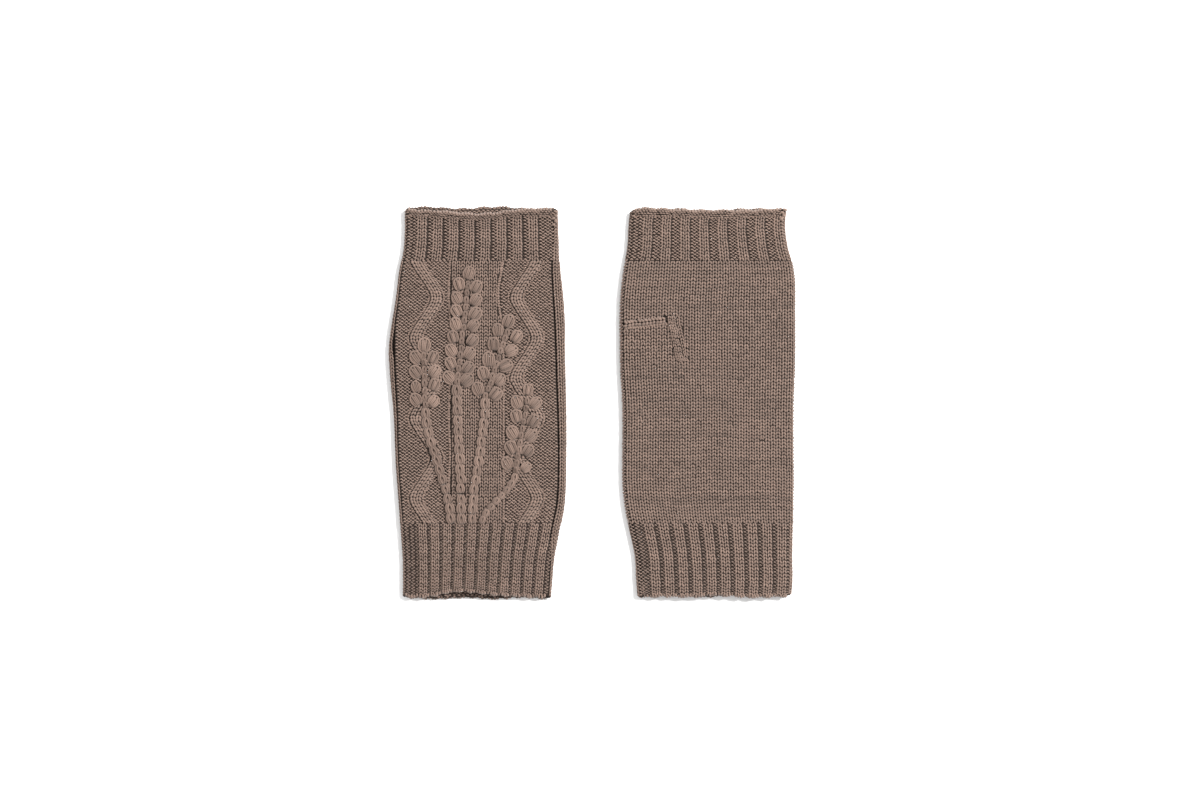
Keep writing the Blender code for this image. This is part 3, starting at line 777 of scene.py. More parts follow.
def closed_wall(outer, inner):
    """Corners and triangles of a wall between two equal grids of points."""
    rows, columns = outer.shape[:2]
    index = np.arange(rows * columns).reshape(rows, columns)
    low, high = index[:-1], index[1:]
    quads = np.stack([low[:, :-1], low[:, 1:], high[:, 1:], high[:, :-1]], -1).reshape(-1, 4)
    shift = rows * columns
    inside = quads[:, ::-1] + shift
    rim = np.concatenate([index[0], index[1:, -1], index[-1, -2::-1], index[-2:0:-1, 0]])
    following = np.roll(rim, -1)
    sides = np.stack([following, rim, rim + shift, following + shift], -1)
    quads = np.concatenate([quads, inside, sides])
    triangles = np.concatenate([quads[:, :3], quads[:, [0, 2, 3]]])
    return np.concatenate([outer.reshape(-1, 3), inner.reshape(-1, 3)]), triangles


def base_patch(name, panel, along, girth):
    """A thin closed wall over a grid of along and girth."""
    outer = surface(panel, along, girth, -BASE_DEPTH)
    inner = surface(panel._replace(relief=plain), along, girth, -WALL)
    # The wall's dark colour is painted shade between the stitches
    return mesh_piece(name, PAINTED_SHADE_BETWEEN_STITCHES, *closed_wall(outer, inner))


def base_cloth(name, panel, start, end, rows, columns):
    """A thin closed wall between two edges, each a girth at a distance along."""
    along = np.clip(np.linspace(0.0, LENGTH, rows), EDGE_INSET, LENGTH - EDGE_INSET)[:, None]
    share = np.linspace(0.0, 1.0, columns)[None, :]
    low, high = start(along), end(along)
    girth = low + share * (high - low)
    return base_patch(name, panel, along + 0 * girth, girth)


def thumb_cloth(name, panel, left, low, high, rows):
    """The thin wall of a piece in the thumb opening, from low to high at x."""
    row, share = np.meshgrid(np.linspace(0, 1, rows), np.linspace(0, 1, 24), indexing="ij")
    x = left + share * (THUMB_TOP_X - left)
    along = low(x) + row * (high(x) - low(x))
    x = left + share * (thumb_right(along) - SEAM_GAP - left)
    girth = girth_at(panel.glove, along, x, panel.under)
    if panel.under:
        girth, along = girth[:, ::-1], along[:, ::-1]
    return base_patch(name, panel, along, girth)


def cut_thumb_opening(piece, glove, left, bottom, top):
    """Cuts the thumb opening's outline through a base cloth, between two heights."""
    outline = [
        (left, THUMB_LOW),
        (THUMB_FOOT_X, THUMB_LOW),
        (THUMB_TOP_X, THUMB_HIGH_RIGHT),
        (left, float(thumb_high(left))),
    ]
    corners = [
        ((x + glove.centre) * MM, (y - LENGTH / 2) * MM, z * MM)
        for z in (bottom, top)
        for x, y in outline
    ]
    faces = [(3, 2, 1, 0), (4, 5, 6, 7)]
    faces += [(k, (k + 1) % 4, (k + 1) % 4 + 4, k + 4) for k in range(4)]
    mesh = bpy.data.meshes.new("thumb_cutter")
    mesh.from_pydata(corners, [], faces)
    cutter = add_object("thumb_cutter", mesh)
    opening = piece.modifiers.new("thumb_opening", "BOOLEAN")
    opening.operation = "DIFFERENCE"
    opening.solver = "EXACT"
    opening.object = cutter
    evaluated = piece.evaluated_get(bpy.context.evaluated_depsgraph_get())
    piece.data = bpy.data.meshes.new_from_object(evaluated)
    piece.modifiers.clear()
    bpy.data.objects.remove(cutter)


# Edges of panels, as the girth at a distance along

def top_seam(glove, side):
    return lambda along: girth_at(glove, along, edges_at(glove, along)[side])


def left_under_seam(along):
    return girth_at(LEFT, along, edges_at(LEFT, along)[3], under=True)


def left_glove_fold(along):
    """Where the palm that lies on top begins to turn round the right fold."""
    return half_girth(LEFT, along) - QUARTER - 0.15


def shifted(edge, by):
    return lambda along: edge(along) + by


def gaping(edge, centre, half_width, by):
    """An edge drawn back where a side seam stands open."""
    return lambda along: edge(along) + by * swell(along, centre, half_width)


def once_round(edge, glove):
    return lambda along: edge(along) + 2 * half_girth(glove, along)


# Fields: the girth of a wale at a distance along

def even_field(start, end, count):
    """Wales spread evenly between two edges: wale 0 lies half a wale in."""

    def field(wale, along):
        low, high = start(along), end(along)
        return low + (wale + 0.5) / count * (high - low)

    return field


def straight_field(panel):
    """Wales given by their x."""
    return lambda x, along: girth_at(panel.glove, along, x, panel.under)


def band_field(panel, side):
    """Wales given by their offset from the middle of a zigzag band."""
    straight = straight_field(panel)
    return lambda offset, along: straight(BACK_MIDDLE + side * zigzag_x(along) + offset, along)


def seam_strip_field(panel):
    """Wales given by their offset from the middle of the thumb's rolled seam."""
    straight = straight_field(panel)
    middle = SEAM_GAP + THUMB_ROLL / 2
    return lambda offset, along: straight(thumb_right(along) - middle + offset, along)


def rib_field(glove, cuff_middle):
    """Wales given by their x at the middle of a cuff, leaning with the outline."""
    return lambda x, along: girth_at(glove, along, leaned(glove, x, cuff_middle, along))


# Rows and wales

def cells(wales, rows):
    """Every pair of a wale and a row."""
    at_wale, at_row = np.meshgrid(wales, rows)
    return at_wale.ravel(), at_row.ravel()


def only(wales, rows, keep):
    return wales[keep], rows[keep]


def course_rows(start, end, course=COURSE):
    count = round((end - start) / course)
    return start + (np.arange(count) + 0.5) * (end - start) / count


def wale_count(start, end, wale):
    """How many wales fit between two edges, halfway along the glove."""
    return round(float(end(LENGTH / 2) - start(LENGTH / 2)) / wale)


HAND_ROWS = course_rows(WRIST_CUFF, HAND_END)


def hand_cells(panel, field, count):
    """Every wale and row of the hand, with the x and z where they cross."""
    wales, at = cells(np.arange(count, dtype=float), HAND_ROWS)
    return wales, at, *section(panel.glove, at, field(wales, at), 0.0)


# Cuffs

def rib_wales(ribs, left_edge, right_edge):
    """x of the knit and the purl wales in the middle of a cuff, and their widths."""
    knit_width = ribs.knit_share * ribs.pitch
    purl_width = ribs.pitch - knit_width
    knit, purl = [], []
    for i in range(ribs.count):
        crest = ribs.first + i * ribs.pitch
        knit += [crest - knit_width / 4, crest + knit_width / 4]
        if i < ribs.count - 1:
            for k in range(ribs.purl_wales):
                share = (k + 0.5) / ribs.purl_wales
                purl.append(crest + knit_width / 2 + share * purl_width)
    last = ribs.first + (ribs.count - 1) * ribs.pitch
    outer_edges = (left_edge, ribs.first - knit_width / 2), (right_edge, last + knit_width / 2)
    for edge, rib_side in outer_edges:
        count = max(1, round(abs(edge - rib_side) / OUTER_RIB_PURL))
        width = (edge - rib_side) / count
        purl += [rib_side + (k + 0.5) * width for k in range(count)]
    return np.array(knit), np.array(purl), knit_width / 2, purl_width / ribs.purl_wales


def cuff_stitches(panel, ribs, cuff_middle, left_edge, right_edge, rows):
    """The ribs of one cuff of the panel that lies uppermost."""
    knit, purl, knit_wale, purl_wale = rib_wales(ribs, left_edge, right_edge)
    field = rib_field(panel.glove, cuff_middle)
    ribbed = knit_stitch(knit_wale * 1.04)
    between = purl_stitch(min(purl_wale, WIDEST_RIB_PURL))
    lift = RIB_PURL_LIFT
    if ribs is panel.glove.wrist_ribs:
        # The wrist's knit ribs get painted highlight, and its purls in the channels painted shade
        ribbed = shaded(ribbed, WRIST_KNIT_PAINTED_HIGHLIGHT)
        between = shaded(between, WRIST_PURL_PAINTED_SHADE)
        lift = WRIST_PURL_LIFT
    return [
        stitches(panel, ribbed, *cells(knit, rows), field),
        stitches(panel, between, *cells(purl, rows), field, YARN_DEPTH - lift),
    ]


def edge_loops(panel, wales, field, finger, width, depth=0.1, reach=0.0):
    """A row of loops over the edge of the knitting, from its outside to its inside."""
    side = -1 if finger else 1
    path = [
        (0, side * 1.3, -0.6),
        (0, side * 0.7, 0.10),
        (0, -side * (0.1 + reach), -0.35),
        (0, side * 0.5, -1.3),
        (0, side * 1.5, -1.3),
    ]
    loop = strand(path, 0.46 * width, 0.5, 6, across=(1, 0, 0))
    rows = np.full(len(wales), LENGTH - EDGE_INSET if finger else EDGE_INSET)
    return stitches(panel, loop, wales, rows, field, depth, rough=1.6)


def panel_edges(panel, left_edge, right_edge):
    """The finger edge's bumpy band and the wrist's loops, on an uppermost panel."""
    near_finger, near_wrist = LENGTH - 2.0, 2.0
    field = rib_field(panel.glove, near_finger)
    first, last = left_edge(near_finger) + 0.7, right_edge(near_finger) - 0.8
    wales = np.arange(first, last, BEAD_WALE)
    path = [(-0.8, -0.3, -0.8), (-0.4, -0.1, 0), (0, 0.1, 0.2), (0.4, -0.1, 0), (0.8, -0.3, -0.8)]
    bead = strand(path, 0.54, 0.55)
    parts = []
    for row, from_edge in enumerate(BEAD_ROWS):
        places = cells(wales + BEAD_WALE / 2 * (row % 2), [LENGTH - from_edge])
        parts.append(stitches(panel, bead, *places, field, 0.05, rough=1.6))
    parts.append(edge_loops(panel, wales + BEAD_WALE / 2, field, True, 1.75, reach=0.2))
    first, last = left_edge(near_wrist) + 0.6, right_edge(near_wrist) - 0.3
    wales = np.arange(first, last, LOOP_WALE)
    field = rib_field(panel.glove, near_wrist)
    parts.append(edge_loops(panel, wales, field, False, 1.5, reach=0.2))
    return parts


def corner_knots(panel, count):
    """Tight loops that bunch at the right-hand corner of the finger edge."""
    path = [(0, -1.2, -0.7), (0, -0.55, -0.05), (0, 0.55, -0.05), (0, 1.2, -0.7)]
    along = LENGTH - np.linspace(0.9, 1.5 * count, count)
    x = edges_at(panel.glove, along)[1] - np.tile((1.4, 2.7), count)[:count]
    turn = rng.uniform(0.9, 2.1, count)
    return turned(panel, strand(path, 0.80, 0.62, 6), x, along, turn, -0.15)


def cuffs_on_top(panel, left_edge, right_edge):
    """Both cuffs of the uppermost panel, between two edges that give x at along."""
    glove = panel.glove
    parts = []
    for ribs, middle, rows in (
        (glove.wrist_ribs, WRIST_MIDDLE, course_rows(0.8, WRIST_CUFF)),
        (glove.finger_ribs, FINGER_MIDDLE, course_rows(HAND_END, LENGTH - EDGE_BAND - 0.9)),
    ):
        parts += cuff_stitches(panel, ribs, middle, left_edge(middle), right_edge(middle), rows)
    knots = corner_knots(panel, 6 if glove is RIGHT else 4)
    return parts + panel_edges(panel, left_edge, right_edge) + [knots]


def edge_of(glove, side, by):
    """x of a fold or seam at a distance along, moved by a given distance."""
    return lambda along: float(edges_at(glove, along)[side]) + by


def ribbed_cuffs(panel, start, end, wale, purl_every):
    """Cheaper stitches over both cuffs, with one wale purled in every purl_every."""
    count = max(1, wale_count(start, end, wale))
    field = even_field(start, end, count)
    parts = []
    for rows in (course_rows(0.8, WRIST_CUFF), course_rows(HAND_END, LENGTH - 0.8)):
        wales, at = cells(np.arange(count, dtype=float), rows)
        purled = np.mod(wales, purl_every) == purl_every - 1
        for chosen, stitch in ((~purled, knit_stitch), (purled, purl_stitch)):
            if chosen.any():
                places = only(wales, at, chosen)
                parts.append(stitches(panel, stitch(wale, full=False), *places, field, rough=0.5))
    return parts


def lower_edges(panel):
    """Loops round the edges of the panel that lies underneath, and its inside there."""
    field = straight_field(panel)
    inside = flipped(purl_stitch(INSIDE_WALE, full=False))
    parts = []
    for finger in (False, True):
        left, right = folds_at(panel.glove, LENGTH - 2.0 if finger else 2.0)
        x = np.arange(left + 2.6, right - 2.4, BEAD_WALE)
        parts.append(edge_loops(panel, x, field, finger, 1.6, YARN_DEPTH))
        x = np.arange(left + 3.6, right - 3.4, INSIDE_WALE)
        from_edge = 1.9 + COURSE * np.arange(4)
        places = cells(x, LENGTH - from_edge if finger else from_edge)
        parts.append(stitches(panel, inside, *places, field, WALL + 0.15, 0.5))
    return parts


def flipped(part):
    """A part that faces into the wall."""
    corners = part.corners * np.array([1.0, 1.0, -1.0])
    return part._replace(corners=corners, triangles=part.triangles[:, ::-1])


# Leaves and stems

def leaf():
    """A padded leaf: a loop of yarn round strands that fan out from its foot.

    The middle strand stops short, which leaves a small hole under the leaf's tip. The dark strand
    under the others is painted shade in the gaps between them.
    """
    rim = 0.52
    wide, long = LEAF_WIDTH / 2 - rim, LEAF_LENGTH / 2 - rim
    loop = []
    for turn in np.linspace(-2.85, 2.85, 15):
        reach = 1 + rng.normal(0.0, 0.025)
        lift = 0.36 - 0.60 * ease((abs(turn) - 2.0) / 0.85)
        x = wide * reach * math.sin(turn) * (1 + 0.10 * math.cos(turn))
        loop.append((x, long * reach * math.cos(turn), lift * LEAF_HEIGHT))
    mid = 0.26 * LEAF_HEIGHT
    path = [(0, -0.9 * long, -0.3), (0, -0.4 * long, mid), (0, 0.5 * long, mid), (0, long, 0.0)]
    # This strand under the others is made darker as painted shade in the gaps between them
    painted_shade_padding = shaded(strand(path, 0.80 * wide, 0.3, 6), LEAF_PADDING_PAINTED_SHADE)
    parts = [strand(loop, rim, 0.50), painted_shade_padding]
    for c in (-2, -1, 0, 1, 2):
        sway_x, ahead = rng.normal(0.0, 0.10, 2)
        high = LEAF_HEIGHT - 0.35 - 0.13 * c * c
        end = 0.72 + ahead if c == 0 else 1.02 - 0.10 * c * c
        path = [
            (0.36 * c, -0.98 * long, -0.3),
            (0.66 * c, -0.62 * long, 0.66 * high),
            (0.88 * c + sway_x, -0.10 * long, high),
            (0.90 * c + sway_x, (end - 0.34) * long, 0.94 * high),
            (0.80 * c, (end - 0.08) * long, 0.62 * high),
            (0.76 * c, end * long, 0.20 * high),
        ]
        parts.append(shaded(strand(path, 0.46, 0.46), rng.normal(-1.4, 2.3)))
    return together(*parts)


def link_length(scale):
    """A small link is shorter than a full one, but less so than it is narrower."""
    return 0.35 + 0.65 * scale


def chain_link(scale):
    """One link of a stem's chain: its doubled legs part round a hole and close again."""
    legs = []
    for side in (-1, 1):
        path = np.array([
            (0.30 * side, -3.1, -0.2),
            (0.80 * side, -2.1, 0.34),
            (1.22 * side, -0.9, 0.58),
            (1.26 * side, 0.2, 0.66),
            (1.02 * side, 1.3, 0.72),
            (0.62 * side, 2.3, 0.56),
            (0.22 * side, 3.1, -0.1),
        ]) * (1.16 * scale, link_length(scale), 1.0)
        for ply, down in ((-0.46, 0.0), (0.52, 0.10)):
            beside = path + np.array([ply * side * scale, 0.0, -down])
            legs.append(shaded(strand(beside, 0.57 * scale, 0.52), rng.normal(-0.9, 1.7)))
    # The filling in the hole is made darker as painted shade
    path = np.array([(0.1, -3.2, -0.5), (0.1, -1.8, 0.3), (-0.1, -0.2, 0.35), (0, 1.3, -0.5)])
    path = path * (scale, link_length(scale), 1.0)
    return together(*legs, shaded(strand(path, 0.62 * scale, 0.4), LINK_FILLING_PAINTED_SHADE))


def stem_point(sprig, t):
    """A sprig's middle line: root at t = 0, foot of the ear at 1, tip at 2."""
    if t > 1:
        x = sprig.ear_x + (t - 1) * (sprig.tip_x - sprig.ear_x)
        return x, sprig.ear_along + (t - 1) * (sprig.tip_along - sprig.ear_along)
    x = sprig.root + float(ease(t)) * (sprig.ear_x - sprig.root)
    return x, WRIST_CUFF + t * (sprig.ear_along - WRIST_CUFF)


def stem_places(sprig, start, end, spacing):
    """x, along and heading of the links up part of a stem."""
    points = np.array([stem_point(sprig, float(t)) for t in np.linspace(start, end, 400)])
    steps = np.linalg.norm(np.diff(points, axis=0), axis=1)
    length = np.concatenate([[0.0], np.cumsum(steps)])
    count = round(length[-1] / spacing)
    at = (np.arange(count) + 0.5) * length[-1] / count
    x, along = (np.interp(at, length, points[:, i]) for i in range(2))
    ahead_x, ahead_along = (np.interp(at + 0.5, length, points[:, i]) for i in range(2))
    return x, along, np.arctan2(ahead_x - x, np.maximum(ahead_along - along, 1e-3))


def leaf_places(sprig):
    """x, along and turn of the leaves: opposite pairs up the ear and one on its tip."""
    rise = sprig.tip_along - sprig.ear_along
    heading = math.atan2(sprig.tip_x - sprig.ear_x, rise)
    places = []
    for i in range(sprig.pairs):
        x, along = stem_point(sprig, 1 + (i + 0.5) / sprig.pairs)
        for side in (-1, 1):
            off_x = side * LEAF_REACH * math.cos(heading)
            off_along = -side * LEAF_REACH * math.sin(heading)
            places.append((x + off_x, along + off_along, heading + side * LEAF_LEAN))
    x, along = stem_point(sprig, 2)
    places.append((x, along + 0.35 * LEAF_LENGTH, heading))
    return np.array(places)


LEAVES = np.concatenate([leaf_places(sprig) for sprig in SPRIGS])


def stem_cover():
    """x, along and half width of the stretches that the stems hide."""
    return [
        (*stem_places(sprig, start, end, 0.8)[:2], half_width)
        for start, end, half_width in ((0.0, 1.0, 1.3), (1.0, EAR_END, 0.5))
        for sprig in SPRIGS
    ]


HIDDEN_BY_STEMS = stem_cover()


def under_motif(x, along):
    """Whether a stitch at x and along is hidden by a leaf or a stem."""
    hidden = np.zeros(len(x), bool)
    for leaf_x, leaf_along, lean in LEAVES:
        dx, dy = x - leaf_x, along - leaf_along
        across = dx * math.cos(lean) - dy * math.sin(lean)
        up = dx * math.sin(lean) + dy * math.cos(lean)
        hidden |= (across / HIDDEN_WIDTH) ** 2 + (up / HIDDEN_LENGTH) ** 2 < 1
    for stem_x, stem_along, half_width in HIDDEN_BY_STEMS:
        near = (x[:, None] - stem_x) ** 2 + (along[:, None] - stem_along) ** 2
        hidden |= near.min(axis=1) < half_width**2
    return hidden


def flattened(part):
    """A raised part pressed down for the side that lies on the table."""
    corners = part.corners.copy()
    corners[:, 2] = PRESSED_SHARE * (corners[:, 2] - corners[:, 2].max())
    return part._replace(corners=corners)


def jostled(x, along, turn, by, by_turn):
    """Places moved a little off their rule, as in handled knitting."""
    x, along = x + rng.normal(0.0, by, len(x)), along + rng.normal(0.0, by, len(x))
    return x, along, turn + rng.normal(0.0, by_turn, len(x))


def sprig_parts(panel):
    """The four leafy sprigs, of four kinds of leaf."""
    flat = flattened if panel.under else lambda part: part
    parts = []
    for sprig in SPRIGS:
        for start, end, scale in ((0.0, 1.0, sprig.stem), (1.0, EAR_END, EAR_LINK)):
            link = flat(chain_link(scale))
            place = stem_places(sprig, start, end, LINK_SPACING * link_length(scale))
            parts.append(turned(panel, link, *jostled(*place, 0.16, 0.09), 0.0))
    shifts = rng.normal(0.0, 1.0, (3, len(LEAVES))) * np.array([[0.3], [0.3], [0.14]])
    places = LEAVES.T + shifts
    for kind in range(LEAF_KINDS):
        blade = flat(leaf())
        some = places[:, kind::LEAF_KINDS]
        parts.append(turned(panel, blade, *some, 0.0 if panel.under else LEAF_DEPTH))
    return parts


# The patterned backs

def beside_band(x, along):
    """Distance out from the ground's wale that runs along the nearest zigzag band."""
    on_left_flank = np.abs(x - BACK_MIDDLE - zigzag_x(along)) < 8.0
    on_left_flank &= x - BACK_MIDDLE < zigzag_x(along)
    on_left_flank |= x - BACK_MIDDLE < -zigzag_x(along)
    return from_band(x, along) - np.where(on_left_flank, LEFT_FLANK, RIGHT_FLANK)


def outline_places(rows):
    """x and along of the ground's wales that follow the bands and the column."""
    places = []
    for side in (-1, 1):
        middle = BACK_MIDDLE + side * zigzag_x(rows)
        places += [(middle - LEFT_FLANK, rows), (middle + RIGHT_FLANK, rows)]
    places.append((COLUMN_LEFT - 0.95 + 0.25 * np.sin(0.19 * rows), rows))
    places.append((COLUMN_RIGHT - 1.25 * dip_at(COLUMN_WAIST, rows) + 0.62, rows))
    return places


def ground_parts(panel, start, end):
    """The purl ground of a patterned back, between two edges given as girths."""
    full = not panel.under
    count = wale_count(start, end, PURL_WALE)
    field = even_field(start, end, count)
    parts = []
    for side, shift in ((1, 0.0), (-1, 0.5)):
        rows = HAND_ROWS + shift * COURSE
        bump = purl_bump(PURL_WALE, side, full=full)
        wales, at = cells(np.arange(count) + shift, rows)
        x, _ = section(panel.glove, at, field(wales, at), 0.0)
        clear = (beside_band(x, at) > CLEAR_OF_FLANK) & (inside_column(x, at) < -CLEAR_OF_COLUMN)
        wales, at = only(wales, at, clear & (wales < count - 0.6) & ~under_motif(x, at))
        parts.append(stitches(panel, bump, wales, at, field))
        bump = purl_bump(0.85 * PURL_WALE, side, full=full)
        for x, at in outline_places(rows):
            clear = (beside_band(x, at) > -0.1) & (inside_column(x, at) < 0.0)
            x, at = only(x, at, clear & ~under_motif(x, at))
            parts.append(stitches(panel, bump, x, at, straight_field(panel)))
    return parts


def bands_and_column(panel):
    """The plain stitches of the zigzag bands and of the column up the middle."""
    full = not panel.under
    parts = []
    for side in (-1, 1):
        wales, at = cells(ZIGZAG_WALES, HAND_ROWS)
        hidden = under_motif(BACK_MIDDLE + side * zigzag_x(at) + wales, at)
        places = only(wales, at, ~hidden)
        # The raised bands' stitches are made lighter as painted highlight
        stitch = shaded(knit_stitch(ZIGZAG_WALE, full=full, thick=0.245), ZIGZAG_PAINTED_HIGHLIGHT)
        depth = YARN_DEPTH if panel.under else YARN_DEPTH - ZIGZAG_LIFT
        parts.append(stitches(panel, stitch, *places, band_field(panel, side), depth))
    count = int((COLUMN_RIGHT - COLUMN_LEFT) / COLUMN_WALE)
    wales, at = cells(COLUMN_LEFT + (np.arange(count) + 0.6) * COLUMN_WALE, HAND_ROWS)
    keep = (inside_column(wales, at) > 0.2) & ~under_motif(wales, at)
    keep &= from_band(wales, at) > BAND_HALF_WIDTH
    stitch = knit_stitch(COLUMN_WALE, full=full)
    parts.append(stitches(panel, stitch, *only(wales, at, keep), straight_field(panel)))
    return parts


# The thumb

# x, along, turn in degrees
LOOSE_THREADS = (
    (-13.4, 121.2, 20.0),
    (-12.6, 122.4, 62.0),
    (-13.9, 122.6, -28.0),
    (-11.8, 121.6, 95.0),
    (-14.6, 121.4, -60.0),
)
# x, along, radius of two small holes in the palm's knitting
HOLES = ((-11.9, 128.6, 1.1), (28.6, 81.6, 1.4))


def thumb_slope():
    rise = THUMB_HIGH_RIGHT - THUMB_HIGH_LEFT
    return math.atan2(rise, THUMB_TOP_X - LEFT_OUTLINE[0][1])


def thumb_band_links(panel, left):
    """The bound edge over the slit: links that point along it, up to a small hole."""
    x = np.arange(THUMB_BAND_END, left + 0.4, -BAND_LINK)
    along = slit_edge(x) + THUMB_BAND / 2
    turn = np.full(len(x), math.pi / 2 - thumb_slope())
    link = knit_stitch(THUMB_BAND * 1.2, BAND_LINK * 1.05, 5, thick=0.19)
    places = jostled(x, along, turn, 0.10, 0.10)
    return turned(panel, link, *places, YARN_DEPTH - THUMB_BAND_LIFT)


def gusset_parts(panel, field, count, left):
    """The gusset's knitting, its rolled seam and the lip at the slit."""
    wales, at, x, z = hand_cells(panel, field, count)
    keep = off_palm(x, at) & (x < thumb_right(at) - SEAM_GAP - THUMB_ROLL + 1.0)
    keep &= (x > left + 0.3) & ((z < FOLD_RADIUS) == panel.under) & (at < gusset_top(x))
    body = stitches(panel, knit_stitch(PALM_WALE), *only(wales, at, keep), field, drift=DRIFT)
    places = cells(np.array([-0.85, 1.15]), course_rows(THUMB_LOW, THUMB_HIGH_RIGHT - 0.4, 1.45))
    rolled = knit_stitch(2.1, 1.45, thick=0.24)
    seam = stitches(panel, rolled, *places, seam_strip_field(panel), 0.0, rough=1.6)
    path = [(-0.95, -0.15, -0.5), (-0.45, 0, 0), (0.45, 0, 0), (0.95, -0.15, -0.5)]
    x = np.arange(left + 0.8, THUMB_TOP_X - THUMB_ROLL - 0.6, 1.45)
    turn = np.full(len(x), -thumb_slope())
    lip = turned(panel, strand(path, 0.70, 0.50), x, gusset_top(x) + 0.1, turn)
    return [body, seam, lip]


def loose_threads(panel):
    """Short ends of sewing yarn where the thumb's seam comes to its foot."""
    x, along, turn = np.array(LOOSE_THREADS).T
    path = [(0, -1.9, -0.2), (0.1, -0.8, 0.25), (-0.1, 0.8, 0.25), (0, 1.9, -0.2)]
    return turned(panel, strand(path, 0.26, 0.26), x, along, np.radians(turn), 0.05)


def thumb_pieces(panel, name, field, count, left):
    """The gusset and the band, each a thin wall with its stitches."""
    gusset_foot = THUMB_LOW + SEAM_GAP
    gusset = thumb_cloth(
        name + "_gusset_cloth", panel, left, lambda x: gusset_foot, gusset_top, rows=16
    )
    knitting = yarn_piece(name + "_gusset_stitches", gusset_parts(panel, field, count, left))
    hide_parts(panel.glove.name + "_thumb_gusset")
    band = thumb_cloth(
        name + "_thumb_band_cloth", panel, left, slit_edge, shifted(slit_edge, THUMB_BAND), rows=5
    )
    links = yarn_piece(name + "_thumb_band_stitches", [thumb_band_links(panel, left)])
    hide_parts(panel.glove.name + "_thumb_band")
    return [band, links]


# The gloves

def build_right_back():
    """The patterned panel, on top."""
    panel = Panel(RIGHT, back_relief, under=False)
    left_seam, right_seam = top_seam(RIGHT, 2), top_seam(RIGHT, 3)
    edges = shifted(left_seam, 0.3), shifted(right_seam, -0.4)
    back = base_cloth("right_back_cloth", panel, *edges, rows=134, columns=84)
    cuffs = cuffs_on_top(panel, edge_of(RIGHT, 2, 0.4), edge_of(RIGHT, 3, -0.5))
    ground = ground_parts(panel, shifted(left_seam, 0.2), shifted(right_seam, -0.3))
    pieces = [
        yarn_piece("right_back_purl_ground", ground),
        yarn_piece("right_back_bands_and_column", bands_and_column(panel)),
        yarn_piece("right_back_cuffs", cuffs),
        yarn_piece("right_back_sprigs", sprig_parts(panel)),
    ]
    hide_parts("right_glove_back")


def build_right_palm():
    """The plain panel, underneath."""
    panel = Panel(RIGHT, plain, under=True)
    start = shifted(top_seam(RIGHT, 3), SEAM_GAP)
    end = shifted(once_round(top_seam(RIGHT, 2), RIGHT), -SEAM_GAP)
    end = gaping(end, centre=130.0, half_width=9.0, by=-0.9)
    palm = base_cloth("right_palm_cloth", panel, start, end, rows=50, columns=44)
    inset = float(edges_at(RIGHT, THUMB_LOW)[0]) + FOLD_RADIUS + 1.6
    cut_thumb_opening(palm, RIGHT, inset, -1.0, THICKNESS / 2)
    count = wale_count(start, end, RIGHT_UNDER_WALE)
    field = even_field(shifted(start, -0.15), shifted(end, 0.15), count)
    wales, at, x, z = hand_cells(panel, field, count)
    opening = off_palm(x, at) & (z < FOLD_RADIUS) & (x > inset - 0.4)
    places = only(wales, at, ~opening)
    stitch = knit_stitch(RIGHT_UNDER_WALE, full=False)
    parts = [stitches(panel, stitch, *places, field, rough=0.5)]
    parts += ribbed_cuffs(panel, start, end, RIGHT_UNDER_WALE, purl_every=3)
    pieces = [
        yarn_piece("right_palm_stitches", parts),
        yarn_piece("right_palm_edges", lower_edges(panel)),
    ]
    pieces += thumb_pieces(panel, "right", field, count, inset + SEAM_GAP)
    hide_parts("right_glove_palm")


def palm_stitches(panel, field):
    """The left palm's knitting, round the thumb opening and two small holes."""
    wales, at, x, z = hand_cells(panel, field, LEFT_PALM_WALES)
    hole = np.zeros(len(x), bool)
    for hole_x, hole_along, radius in HOLES:
        hole |= (x - hole_x) ** 2 + (at - hole_along) ** 2 < radius**2
    opening = off_palm(x, at) & (z > FOLD_RADIUS)
    tight = knit_stitch(0.70 * PALM_WALE, 0.72 * COURSE)
    parts = [stitches(panel, tight, wales[hole], at[hole] + 0.55, field)]
    stitch = shaded(knit_stitch(PALM_WALE, thick=0.213), LEFT_PALM_SHADE)
    places = only(wales, at, ~opening & ~hole)
    parts.append(stitches(panel, stitch, *places, field, rough=0.75, drift=DRIFT))
    rows = course_rows(THUMB_LOW, THUMB_HIGH_RIGHT)
    beside = np.full(len(rows), SEAM_GAP + THUMB_ROLL / 2 + 1.15)
    parts.append(stitches(panel, knit_stitch(2.3), beside, rows, seam_strip_field(panel)))
    return parts + [loose_threads(panel)]


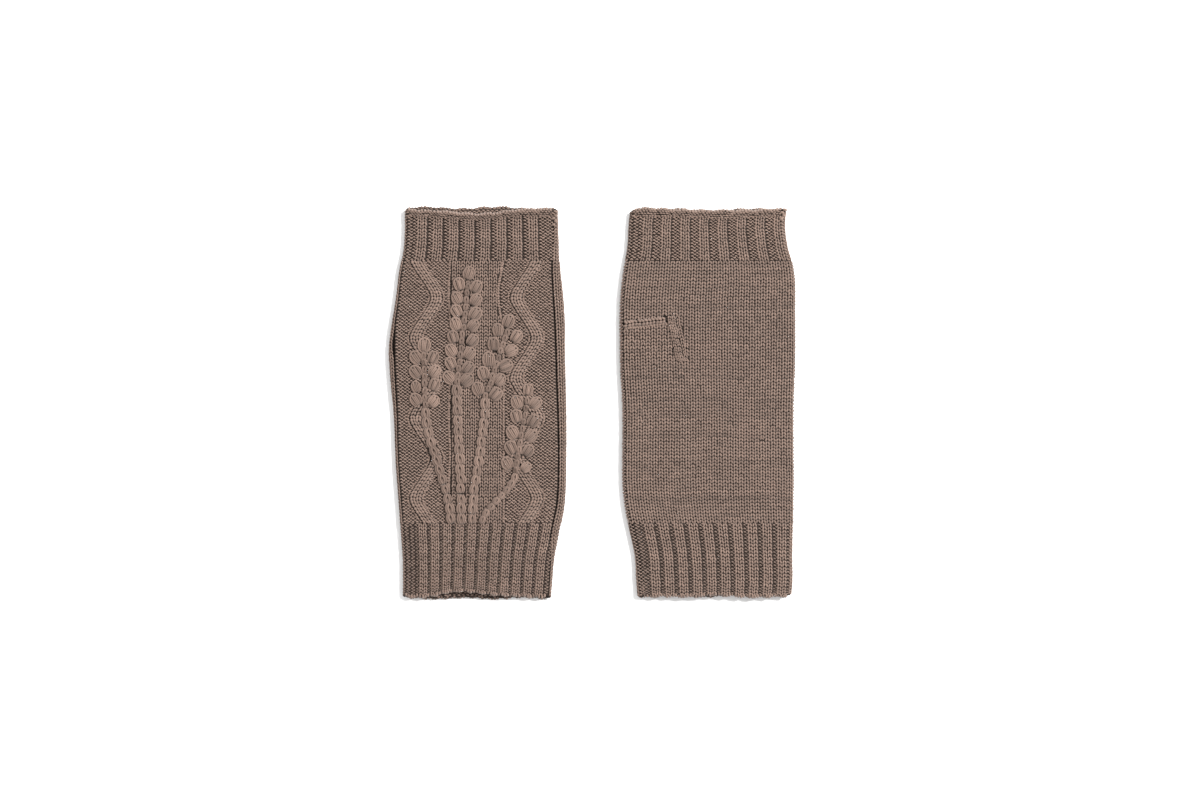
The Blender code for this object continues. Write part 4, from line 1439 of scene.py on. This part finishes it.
def build_left_palm():
    """The plain panel, on top and round the right fold."""
    panel = Panel(LEFT, left_relief, under=False)
    left_seam = shifted(top_seam(LEFT, 2), SEAM_GAP + 0.2)
    left_seam = gaping(left_seam, centre=4.0, half_width=22.0, by=1.0)
    edges = left_seam, left_under_seam
    palm = base_cloth("left_palm_cloth", panel, *edges, rows=134, columns=96)
    thumb_left = float(edges_at(LEFT, (THUMB_LOW + THUMB_HIGH_LEFT) / 2)[2])
    cut_thumb_opening(palm, LEFT, thumb_left - 1.0, THICKNESS / 2, THICKNESS + 3.0)
    field = even_field(shifted(left_seam, -0.3), left_under_seam, LEFT_PALM_WALES)
    body = palm_stitches(panel, field)
    cuffs = cuffs_on_top(panel, edge_of(LEFT, 2, 0.3), edge_of(LEFT, 1, -2.3))
    smooth = panel._replace(relief=plain)
    edges = left_glove_fold, left_under_seam
    cuffs += ribbed_cuffs(smooth, *edges, LEFT_UNDER_WALE, purl_every=ALL_KNIT)
    pieces = [yarn_piece("left_palm_stitches", body), yarn_piece("left_palm_cuffs", cuffs)]
    inset = thumb_left + 2 * SEAM_GAP
    pieces += thumb_pieces(panel, "left", field, LEFT_PALM_WALES, inset)
    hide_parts("left_glove_palm")


def build_left_back():
    """The patterned panel, underneath."""
    panel = Panel(LEFT, plain, under=True)
    start = shifted(left_under_seam, SEAM_GAP)
    end = once_round(top_seam(LEFT, 2), LEFT)
    back = base_cloth("left_back_cloth", panel, start, end, rows=50, columns=44)
    parts = ground_parts(panel, start, shifted(end, 0.5))
    parts += bands_and_column(panel)
    parts += sprig_parts(panel)
    parts += ribbed_cuffs(panel, start, end, LEFT_UNDER_WALE, purl_every=3)
    pieces = [
        yarn_piece("left_back_stitches", parts),
        yarn_piece("left_back_edges", lower_edges(panel)),
    ]
    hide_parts("left_glove_back")


def stage():
    bpy.ops.mesh.primitive_plane_add(size=6.0, location=(0, 0, -0.0003))
    floor = bpy.context.object
    floor.name = "floor"
    pale = {"Base Color": (0.93, 0.93, 0.93, 1.0), "Roughness": 0.9}
    material, _ = new_material("pale_floor", pale)
    floor.data.materials.append(material)


def area_light(name, location, size, energy):
    data = bpy.data.lights.new(name, "AREA")
    data.shape = "DISK"
    data.size = size
    data.energy = energy
    light = add_object(name, data)
    light.location = location
    aim = -light.location
    light.rotation_euler = aim.to_track_quat("-Z", "Y").to_euler()


def light_and_camera():
    scene = bpy.context.scene
    world = bpy.data.worlds.new("studio")
    world.use_nodes = True
    background = world.node_tree.nodes["Background"]
    set_inputs(background, {"Color": (1.0, 1.0, 1.0, 1.0), "Strength": 0.85})
    scene.world = world
    area_light("key", location=(1.35, 0.85, 1.70), size=0.6, energy=124.0)
    area_light("fill", location=(-1.4, 0.5, 1.5), size=1.4, energy=8.0)
    data = bpy.data.cameras.new("camera")
    data.lens = 85.0
    data.sensor_width = 36.0
    camera = add_object("camera", data)
    camera.location = (0.0041, 0.0015, 1.450)
    scene.camera = camera
    scene.view_settings.view_transform = "Standard"


build_right_back()
build_right_palm()
build_left_palm()
build_left_back()
stage()
light_and_camera()
